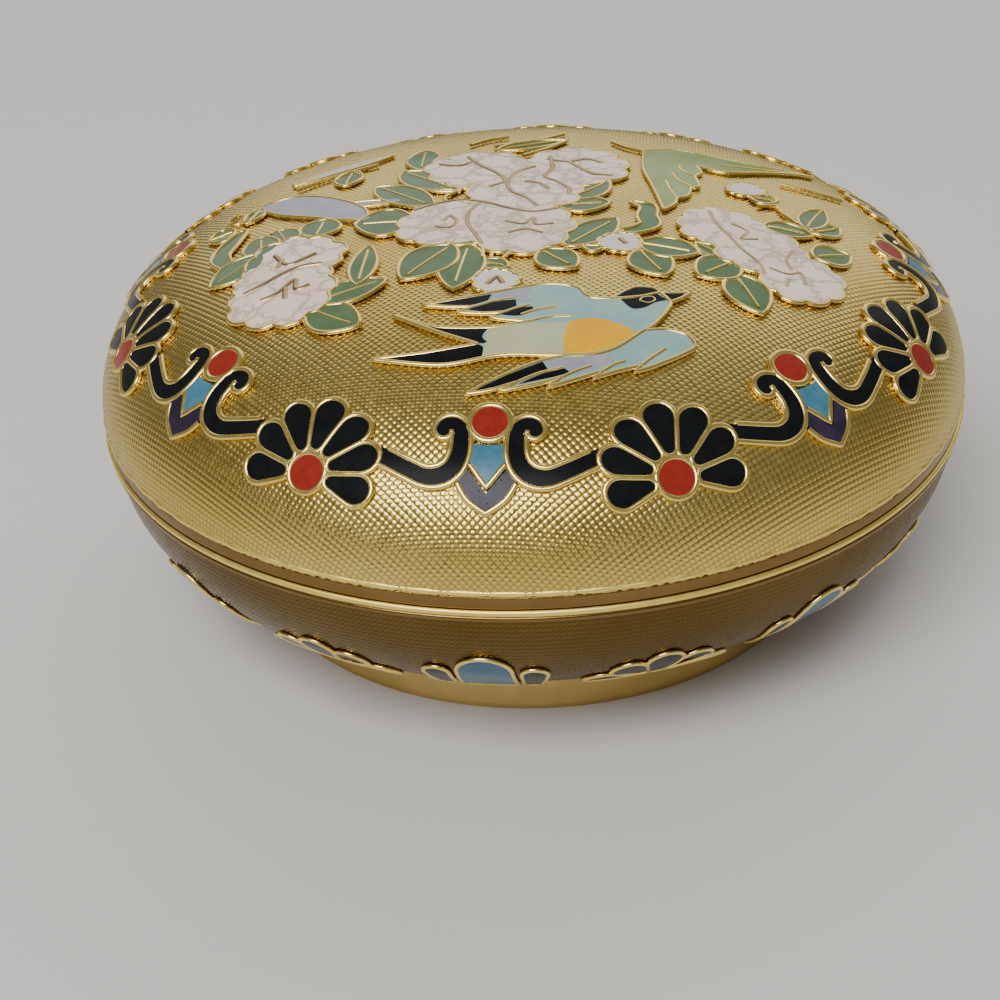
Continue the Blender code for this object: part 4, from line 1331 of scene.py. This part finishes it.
leaves = {
    "leaves_left_upper": [
        (-31.0, -10.8, -36.4, -16.2, 5.0, 0.2), (-31.2, -11.2, -32.2, -5.8, 4.4, 0.0),
        (-28.2, -8.8, -30.4, -4.6, 4.2, 0.0), (-25.0, -8.0, -24.6, -3.0, 5.0, 0.0),
    ],
    "leaves_left_lower": [
        (-17.6, -21.4, -17.6, -12.2, 3.0, 0.0), (-22.0, -24.4, -14.4, -20.8, 4.4, 0.0),
        (-22.6, -25.4, -16.2, -29.8, 5.0, -0.2),
    ],
    "leaves_centre_left": [
        (-15.2, 21.0, -14.8, 12.6, 4.2, 0.0), (-17.0, 12.0, -8.8, 4.4, 5.8, 0.0),
        (-19.6, 6.8, -11.4, -0.8, 5.0, 0.0), (-13.2, -5.2, -20.4, -5.4, 7.6, 0.0),
    ],
    "leaves_centre_below": [
        (-7.6, -12.6, -12.4, -20.8, 6.2, 0.0), (-5.6, -12.8, -6.2, -23.4, 5.2, 0.0),
        (-3.6, -17.0, -0.4, -18.4, 2.6, 0.0),
    ],
    "leaves_centre_right": [
        (4.6, 1.4, 9.9, 7.8, 4.6, -0.4), (4.0, -0.6, 10.4, 0.4, 4.6, 0.0),
    ],
    "leaves_middle_curl": [(6.0, -12.8, 11.6, -4.6, 4.8, 0.0)],
    "leaf_centre_low": [(3.2, -14.0, 7.4, -18.2, 4.8, -0.2)],
    "leaves_middle_right": [
        (14.4, -11.4, 21.4, -13.0, 4.8, 0.0), (14.6, -13.2, 17.8, -19.0, 5.0, -0.2),
        (8.0, -12.6, 10.4, -12.6, 2.8, 0.0),
    ],
    "leaves_right_lower": [
        (25.8, -14.0, 21.6, -18.4, 5.2, 0.0), (24.6, -13.4, 21.2, -10.6, 2.6, 0.0),
        (25.6, -17.2, 28.6, -24.2, 5.0, 0.0),
    ],
    "leaves_right_upper": [
        (29.2, -3.4, 35.0, -3.8, 3.8, 0.0), (34.4, -2.2, 36.8, 5.4, 3.2, 0.2),
        (35.2, -2.8, 38.6, 0.6, 3.0, 0.0),
    ],
    "leaf_right_side": [(35.0, -9.4, 39.4, -6.4, 4.2, 0.0)],
    "leaves_far_left": [(-36.6, -1.4, -39.8, -2.2, 4.2, 0.0), (-35.4, 0.4, -34.4, 4.6, 2.4, 0.0)],
    "leaf_back_left": [(-24.2, 8.6, -24.0, 14.4, 3.4, 0.0)],
    "leaves_back": [(-5.4, 20.2, 3.4, 24.6, 3.6, 0.0), (27.8, 5.2, 31.0, 5.2, 3.2, 0.0)],
}
strokes = {
    "curl": [(13.5, 0.6, 0.35), (15.2, -0.7, 0.9), (15.2, -3.6, 1.1), (15.6, -6.0, 1.1),
             (13.9, -7.8, 0.8), (12.4, -8.2, 0.4)],
    "farLeft": [(-35.4, -2.8, 0.6), (-36.4, -6.0, 1.1), (-36.9, -8.8, 1.1),
                (-35.3, -11.9, 0.7)],
    "lavender": [(-34.6, 4.4, 0.9), (-31.6, 4.2, 2.6), (-28.4, 2.6, 3.1), (-24.6, 0.4, 2.8),
                 (-21.6, -1.8, 2.1), (-20.0, -3.4, 1.0)],
    "lavenderTail": [(-23.2, 1.0, 0.9), (-19.8, 1.2, 0.9), (-16.2, 1.6, 0.4)],
    "whiteWing": [(-31.4, 12.4, 0.4), (-27.6, 14.8, 1.2), (-23.4, 17.6, 1.2),
                  (-20.0, 20.4, 0.4)],
}
birdFront = {
    "body": [
        [(-9.2, -26.8), (-3.6, -25.2), (1.5, -23.3), (4.0, -22.5), (6.5, -22.5), (8.2, -23.3),
         (8.9, -24.5), (10.0, -25.1), (12.0, -25.0)],
        [(12.0, -25.0), (13.2, -23.5), (14.5, -22.4), (16.4, -22.3), (17.2, -23.1)],
        [(17.2, -23.1), (18.4, -24.8), (18.1, -26.5), (16.6, -29.6), (15.2, -31.0),
         (13.0, -33.5), (10.5, -35.0), (6.0, -35.7), (0.5, -35.9), (-6.0, -37.3),
         (-13.8, -35.8)],
        [(-13.8, -35.8), (-8.0, -35.4), (-2.2, -34.2)],
        [(-2.2, -34.2), (-7.0, -31.9), (-12.3, -28.6)],
        [(-12.3, -28.6), (-8.0, -30.8), (-5.0, -31.4), (-1.0, -31.3), (3.2, -30.1)],
        [(3.2, -30.1), (0.8, -29.9), (-1.3, -29.5)],
        [(-1.3, -29.5), (0.2, -28.5)],
        [(0.2, -28.5), (-2.4, -28.7), (-5.2, -28.4)],
        [(-5.2, -28.4), (-3.2, -27.4)],
        [(-3.2, -27.4), (-6.2, -27.3), (-9.2, -26.8)],
    ],
    "wing": [
        [(15.6, -30.6), (18.0, -30.0), (20.2, -30.4), (21.2, -32.0), (20.0, -33.5),
         (16.8, -36.0), (14.9, -37.1)],
        [(14.9, -37.1), (15.6, -36.1)],
        [(15.6, -36.1), (13.0, -37.3), (10.6, -38.6)],
        [(10.6, -38.6), (11.6, -37.5)],
        [(11.6, -37.5), (8.8, -38.9), (5.8, -40.3)],
        [(5.8, -40.3), (7.2, -38.9)],
        [(7.2, -38.9), (4.4, -40.0), (0.8, -41.0)],
        [(0.8, -41.0), (2.6, -39.8)],
        [(2.6, -39.8), (-0.2, -40.9), (-2.8, -41.4)],
        [(-2.8, -41.4), (2.0, -38.3), (4.8, -36.7), (7.0, -35.9), (10.5, -35.2),
         (13.0, -33.7), (15.6, -30.6)],
    ],
    "feathers": [
        [(-3.2, -27.4), (-1.4, -26.4), (1.0, -25.6)], [(0.2, -28.5), (1.4, -27.7), (2.8, -27.0)],
        [(2.0, -29.0), (3.8, -27.9), (5.9, -27.3)], [(3.2, -30.1), (5.0, -29.3), (7.5, -28.9)],
        [(2.6, -39.8), (4.8, -38.5), (7.2, -37.6)], [(7.2, -38.9), (8.8, -37.8), (10.2, -37.0)],
        [(11.6, -37.5), (12.6, -36.5), (13.8, -35.8)], [(15.6, -36.1), (16.6, -34.8),
                                                        (18.0, -33.2)],
    ],
    "cap": [(12.0, -25.0), (13.6, -24.7), (15.4, -24.1), (17.2, -23.1)],
    "beak": [[(17.2, -23.1), (18.9, -23.0), (20.6, -22.5)], [(20.6, -22.5), (19.6, -23.8),
                                                             (18.4, -24.8)]],
    "eye": [(15.0, -25.2), (15.3, -24.5), (16.3, -24.2), (16.7, -24.8), (16.0, -25.5)],
}
birdColours = {
    "black": [
        # wing feathers, tail, lower wing, cap, beak and mask
        [[(-8.0, -26.8), (-4.2, -25.7), (-1.6, -24.9)], [(-1.6, -24.9), (-1.9, -26.2)],
         [(-1.9, -26.2), (-4.2, -27.2), (-8.0, -26.8)]],
        [[(-4.0, -28.0), (-1.8, -26.7), (1.2, -26.0)], [(1.2, -26.0), (1.4, -27.3)],
         [(1.4, -27.3), (-0.8, -28.5), (-4.0, -28.1)]],
        [[(-0.4, -29.0), (1.4, -27.8), (3.2, -27.4)], [(3.2, -27.4), (3.4, -28.2)],
         [(3.4, -28.2), (1.8, -29.2), (-0.4, -29.0)]],
        [[(-11.6, -29.1), (-7.8, -31.0), (-4.6, -31.6), (-1.4, -31.6)],
         [(-1.4, -31.6), (-1.9, -33.0), (-1.2, -34.0)],
         [(-1.2, -34.0), (-2.4, -34.0), (-6.8, -31.9), (-11.6, -29.1)]],
        [[(-13.0, -35.8), (-8.0, -35.5), (-2.2, -34.4)], [(-2.2, -34.4), (-1.6, -34.8),
                                                          (-1.6, -36.2)],
         [(-1.6, -36.2), (-6.0, -37.1), (-13.0, -35.8)]],
        [[(-2.0, -41.1), (2.2, -38.5), (5.0, -36.9)], [(5.0, -36.9), (5.6, -37.9)],
         [(5.6, -37.9), (1.8, -40.0), (-2.0, -41.1)]],
        [[(2.6, -40.2), (5.0, -38.7), (7.4, -37.7)], [(7.4, -37.7), (8.0, -38.2)],
         [(8.0, -38.2), (6.2, -39.0), (2.6, -40.2)]],
        [[(12.3, -24.9), (13.3, -23.6), (14.5, -22.5), (16.3, -22.4), (16.9, -23.1)],
         [(16.9, -23.1), (15.4, -23.9), (13.6, -24.6), (12.3, -24.9)]],
        [[(17.6, -23.3), (20.2, -22.6)], [(20.2, -22.6), (18.5, -24.4)],
         [(18.5, -24.4), (17.6, -23.3)]],
        [[(12.9, -25.2), (14.4, -24.8), (16.9, -23.6)], [(16.9, -23.6), (18.0, -24.6)],
         [(18.0, -24.6), (16.8, -25.2), (15.6, -26.4), (14.2, -26.8), (12.9, -25.2)]],
    ],
    "belly": [
        [[(-1.4, -31.6), (2.6, -30.6), (7.4, -30.2)], [(7.4, -30.2), (7.0, -32.8),
                                                       (7.2, -35.4)],
         [(7.2, -35.4), (2.6, -35.7), (-1.6, -36.2)], [(-1.6, -36.2), (-1.4, -31.6)]],
    ],
    "orange": [
        [[(7.4, -30.0), (9.6, -29.2), (12.0, -29.5), (14.8, -31.0)],
         [(14.8, -31.0), (12.9, -33.3), (10.4, -34.8), (7.2, -35.4)],
         [(7.2, -35.4), (7.0, -32.8), (7.4, -30.0)]],
    ],
    "lavender": [
        [[(-2.0, -25.0), (1.5, -23.6), (2.8, -23.2)], [(2.8, -23.2), (2.4, -25.2),
                                                       (3.0, -26.4)],
         [(3.0, -26.4), (0.6, -26.2), (-2.0, -25.0)]],
        [[(5.0, -36.9), (8.6, -35.9), (12.0, -35.0)], [(12.0, -35.0), (12.6, -36.2)],
         [(12.6, -36.2), (8.0, -38.4), (5.0, -36.9)]],
    ],
}
birdBack = {
    "wing": [
        [(14.0, 20.4), (14.2, 13.0), (15.6, 6.4), (17.2, -1.4)],
        [(17.2, -1.4), (18.4, 0.6), (18.7, 2.6)], [(18.7, 2.6), (20.0, 3.6), (20.4, 6.6)],
        [(20.4, 6.6), (21.4, 7.2), (20.8, 10.8)], [(20.8, 10.8), (21.6, 12.6), (21.0, 15.2)],
        [(21.0, 15.2), (24.8, 13.6), (30.2, 16.4), (36.2, 20.8)],
        [(36.2, 20.8), (30.6, 19.2), (24.6, 20.0), (18.4, 21.8), (14.0, 20.4)],
    ],
    "feathers": [
        [(18.7, 2.6), (17.8, 5.4), (17.2, 8.4)], [(20.4, 6.6), (18.8, 8.8), (18.0, 11.4)],
        [(20.8, 10.8), (19.4, 12.2), (18.8, 14.2)],
        [(36.2, 20.8), (30.0, 17.4), (24.0, 16.2)],
    ],
}
groundLines = [
    [(-7.4, -12.6), (-4.2, -12.8), (-3.6, -16.0)], [(-2.6, -12.8), (-2.6, -16.4)],
    [(-0.4, -14.4), (-1.2, -16.2)], [(12.4, -8.2), (12.0, -9.6)],
    [(-9.6, 0.4), (-10.3, 2.2), (-8.6, 4.8), (-6.6, 7.4)], [(-12.0, 4.8), (-9.6, 4.8)],
    [(31.0, 3.6), (31.8, 1.2), (33.2, -1.0)], [(28.6, 2.6), (31.2, 3.6)],
    [(31.8, 12.4), (35.6, 12.2), (39.6, 12.6)], [(-9.4, 23.2), (-7.3, 25.6), (-4.6, 27.0)],
    [(-1.8, 17.6), (1.0, 20.4), (3.4, 24.2)], [(-6.0, 22.0), (-1.0, 24.4), (2.8, 28.6)],
    [(9.6, 24.4), (11.6, 22.0), (13.8, 20.4)], [(-30.8, 9.8), (-26.2, 13.0), (-21.0, 16.4)],
    [(-12.8, 17.6), (-11.2, 16.0)], [(-38.6, 3.4), (-37.0, 5.0), (-36.2, 1.6), (-37.8, 1.2),
                                     (-38.6, 3.4)],
]


def buildPicture():
    closed = []
    opened = []
    petals = []
    for heads in flowers.values():
        outlines = [ruffled(*head) for head in heads]
        whole, stretches = unionWires(outlines)
        closed += whole
        opened += stretches
        petals.append(outlines)
    allPetals = [outline for group in petals for outline in group]

    # leaves go behind the flowers, and each leaf behind the ones before it
    shown = []
    greens = []
    ribs = []
    for group in leaves.values():
        for values in group:
            outline, rib = leaf(*values)
            whole, stretches = clipLine(grow(outline, 0.12), True, [*allPetals, *shown])
            closed += whole
            opened += stretches
            ribs += sum(clipLine(rib, False, [*allPetals, *shown]), [])
            greens.append(outline)
            shown.append(outline)
    for name in ("curl", "farLeft"):
        outline = stroke(strokes[name])
        whole, stretches = clipLine(grow(outline, 0.12), True, [*allPetals, *shown])
        closed += whole
        opened += stretches
        greens.append(outline)
        shown.append(outline)

    body = outlineOf(*birdFront["body"])
    lowerWing = outlineOf(*birdFront["wing"])
    backBird = outlineOf(*birdBack["wing"])
    lavender = stroke(strokes["lavender"])
    lavenderTail = stroke(strokes["lavenderTail"])
    whiteWing = stroke(strokes["whiteWing"])
    closed += [body, backBird, whiteWing]
    whole, stretches = clipLine(lowerWing, True, [body])
    closed += whole
    opened += stretches
    for outline, others in ((lavender, []), (lavenderTail, [lavender])):
        whole, stretches = clipLine(outline, True, [*others, *shown, *allPetals])
        closed += whole
        opened += stretches
    opened += [smoothRun(line) for line in birdFront["feathers"]]
    opened += [smoothRun(line) for line in birdBack["feathers"]]
    opened += [smoothRun(line) for line in groundLines]
    opened.append(smoothRun(birdFront["cap"]))
    closed.append(outlineOf(*birdFront["beak"], [(18.4, -24.8), (17.2, -23.1)]))

    gilt = wires("pictureWires", closed, opened, half=picture["wire"],
                 level=picture["wireLevel"])
    drape(gilt, onDome)
    fine = wires("pictureRibs", [smoothRun(birdFront["eye"] + birdFront["eye"][:1])[:-1]], ribs,
                 half=picture["rib"], level=picture["ribLevel"])
    drape(fine, onDome)
    lines = wires("pictureLines", [], [smoothRun(line) for line in petalLines],
                  half=picture["line"], level=picture["lineLevel"])
    drape(lines, onDome)
    step, fineStep = picture["step"], picture["fineStep"]
    pieces = {
        "pictureGreen": layeredCells("pictureGreen", greens[::-1], fineStep, first=-0.13),
        "picturePink": layeredCells("picturePink", [
            outline for group in petals[:3] for outline in group], step),
        "pictureWhite": layeredCells("pictureWhite", [
            outline for group in petals[3:] for outline in group] + [whiteWing], step),
        "birdLavender": layeredCells("birdLavender", [lavenderTail, lavender], step,
                                     first=-0.02),
        "birdBackGreen": layeredCells("birdBackGreen", [backBird], step),
        "birdBody": layeredCells("birdBody", [body, lowerWing], step),
    }
    for name, outlines in birdColours.items():
        made = [outlineOf(*runs) for runs in outlines]
        title = "bird" + name.capitalize() + "Marks"
        pieces[title] = layeredCells(title, made, fineStep, first=0.03)
    for piece in pieces.values():
        drape(piece, onDome)
    return gilt, fine, lines, pieces


pictureGilt, pictureFine, pictureInk, pictureCells = buildPicture()
pictureNodes = [name for name in nodeNames if name.startswith(
    ("peony", "bud", "wing", "bird", "leaf", "leaves"))]
finishPiece(pictureGilt, giltWire, "gilt_brass", *pictureNodes)
finishPiece(pictureFine, giltWire, "gilt_brass", "bird_front")
finishPiece(pictureInk, giltLineTintAndShade, "gilt_brass", "peony_centre", "peony_left", "peony_right")
leafNodes = [name for name in nodeNames if name.startswith("lea")]
finishPiece(pictureCells["pictureGreen"], greenEnamel, "green_enamel", *leafNodes)
finishPiece(pictureCells["picturePink"], pinkEnamel, "pink_enamel",
            "peony_centre", "peony_left", "peony_right")
finishPiece(pictureCells["pictureWhite"], whiteEnamel, "white_enamel",
            "bud_front", "bud_middle", "bud_right", "wing_left")
finishPiece(pictureCells["birdLavender"], lavenderEnamel, "lavender_enamel", "bird_left")
finishPiece(pictureCells["birdBackGreen"], grassEnamel, "leaf_green_enamel", "bird_back")
finishPiece(pictureCells["birdBody"], turquoiseEnamel, "turquoise_enamel", "bird_front")
finishPiece(pictureCells["birdBlackMarks"], blackEnamel, "black_enamel", "bird_front")
finishPiece(pictureCells["birdBellyMarks"], bellyEnamel, "leaf_green_enamel", "bird_front")
finishPiece(pictureCells["birdOrangeMarks"], orangeEnamel, "turquoise_enamel", "bird_front")
finishPiece(pictureCells["birdLavenderMarks"], lavenderEnamel, "lavender_enamel", "bird_front")
print("picture made")

# stage, light and camera

view = {
    "place": (21.69, -214.39, 136.32),     # camera, millimetres
    "heading": -7.076, "pitch": 30.94, "roll": -2.80, "lens": 66.6,
}

bpy.ops.object.select_all(action="DESELECT")
bpy.ops.mesh.primitive_plane_add(size=4.0, location=(0.0, 0.0, 0.0))
floor = bpy.context.view_layer.objects.active
floor.name = "floor"
floorPaint = bpy.data.materials.new("floorPaint")
floorPaint.use_nodes = True
floorPaint.node_tree.nodes["Principled BSDF"].inputs["Base Color"].default_value = (
    0.80, 0.78, 0.75, 1.0)
floorPaint.node_tree.nodes["Principled BSDF"].inputs["Roughness"].default_value = 0.7
floor.data.materials.append(floorPaint)


def softLight(name, place, aim, size, power, colour=(1.0, 1.0, 1.0)):
    bpy.ops.object.light_add(type="AREA", location=place)
    lamp = bpy.context.view_layer.objects.active
    lamp.name = name
    lamp.data.shape = "RECTANGLE"
    lamp.data.size = size[0]
    lamp.data.size_y = size[1]
    lamp.data.energy = power
    lamp.data.color = colour
    toward = Vector(aim) - Vector(place)
    lamp.rotation_euler = toward.to_track_quat("-Z", "Y").to_euler()


softLight("keyLight", (-0.30, -1.00, 1.28), (0.0, 0.0, 0.03), (1.0, 0.8), 24.0)
softLight("wallLight", (0.1, 1.45, 0.95), (0.0, 0.0, 0.03), (2.4, 1.3), 10.0)

world = bpy.data.worlds.new("softRoom")
bpy.context.scene.world = world
world.use_nodes = True
world.node_tree.nodes["Background"].inputs["Color"].default_value = (0.86, 0.85, 0.82, 1.0)
world.node_tree.nodes["Background"].inputs["Strength"].default_value = 0.26

bpy.ops.object.camera_add(location=[part * mm for part in view["place"]])
camera = bpy.context.view_layer.objects.active
camera.data.lens = view["lens"]
camera.data.sensor_width = 36.0
camera.rotation_euler = (
    Matrix.Rotation(math.radians(-view["heading"]), 3, "Z")
    @ Matrix.Rotation(math.radians(90.0 - view["pitch"]), 3, "X")
    @ Matrix.Rotation(math.radians(view["roll"]), 3, "Z")).to_euler()
bpy.context.scene.camera = camera
print("stage set")
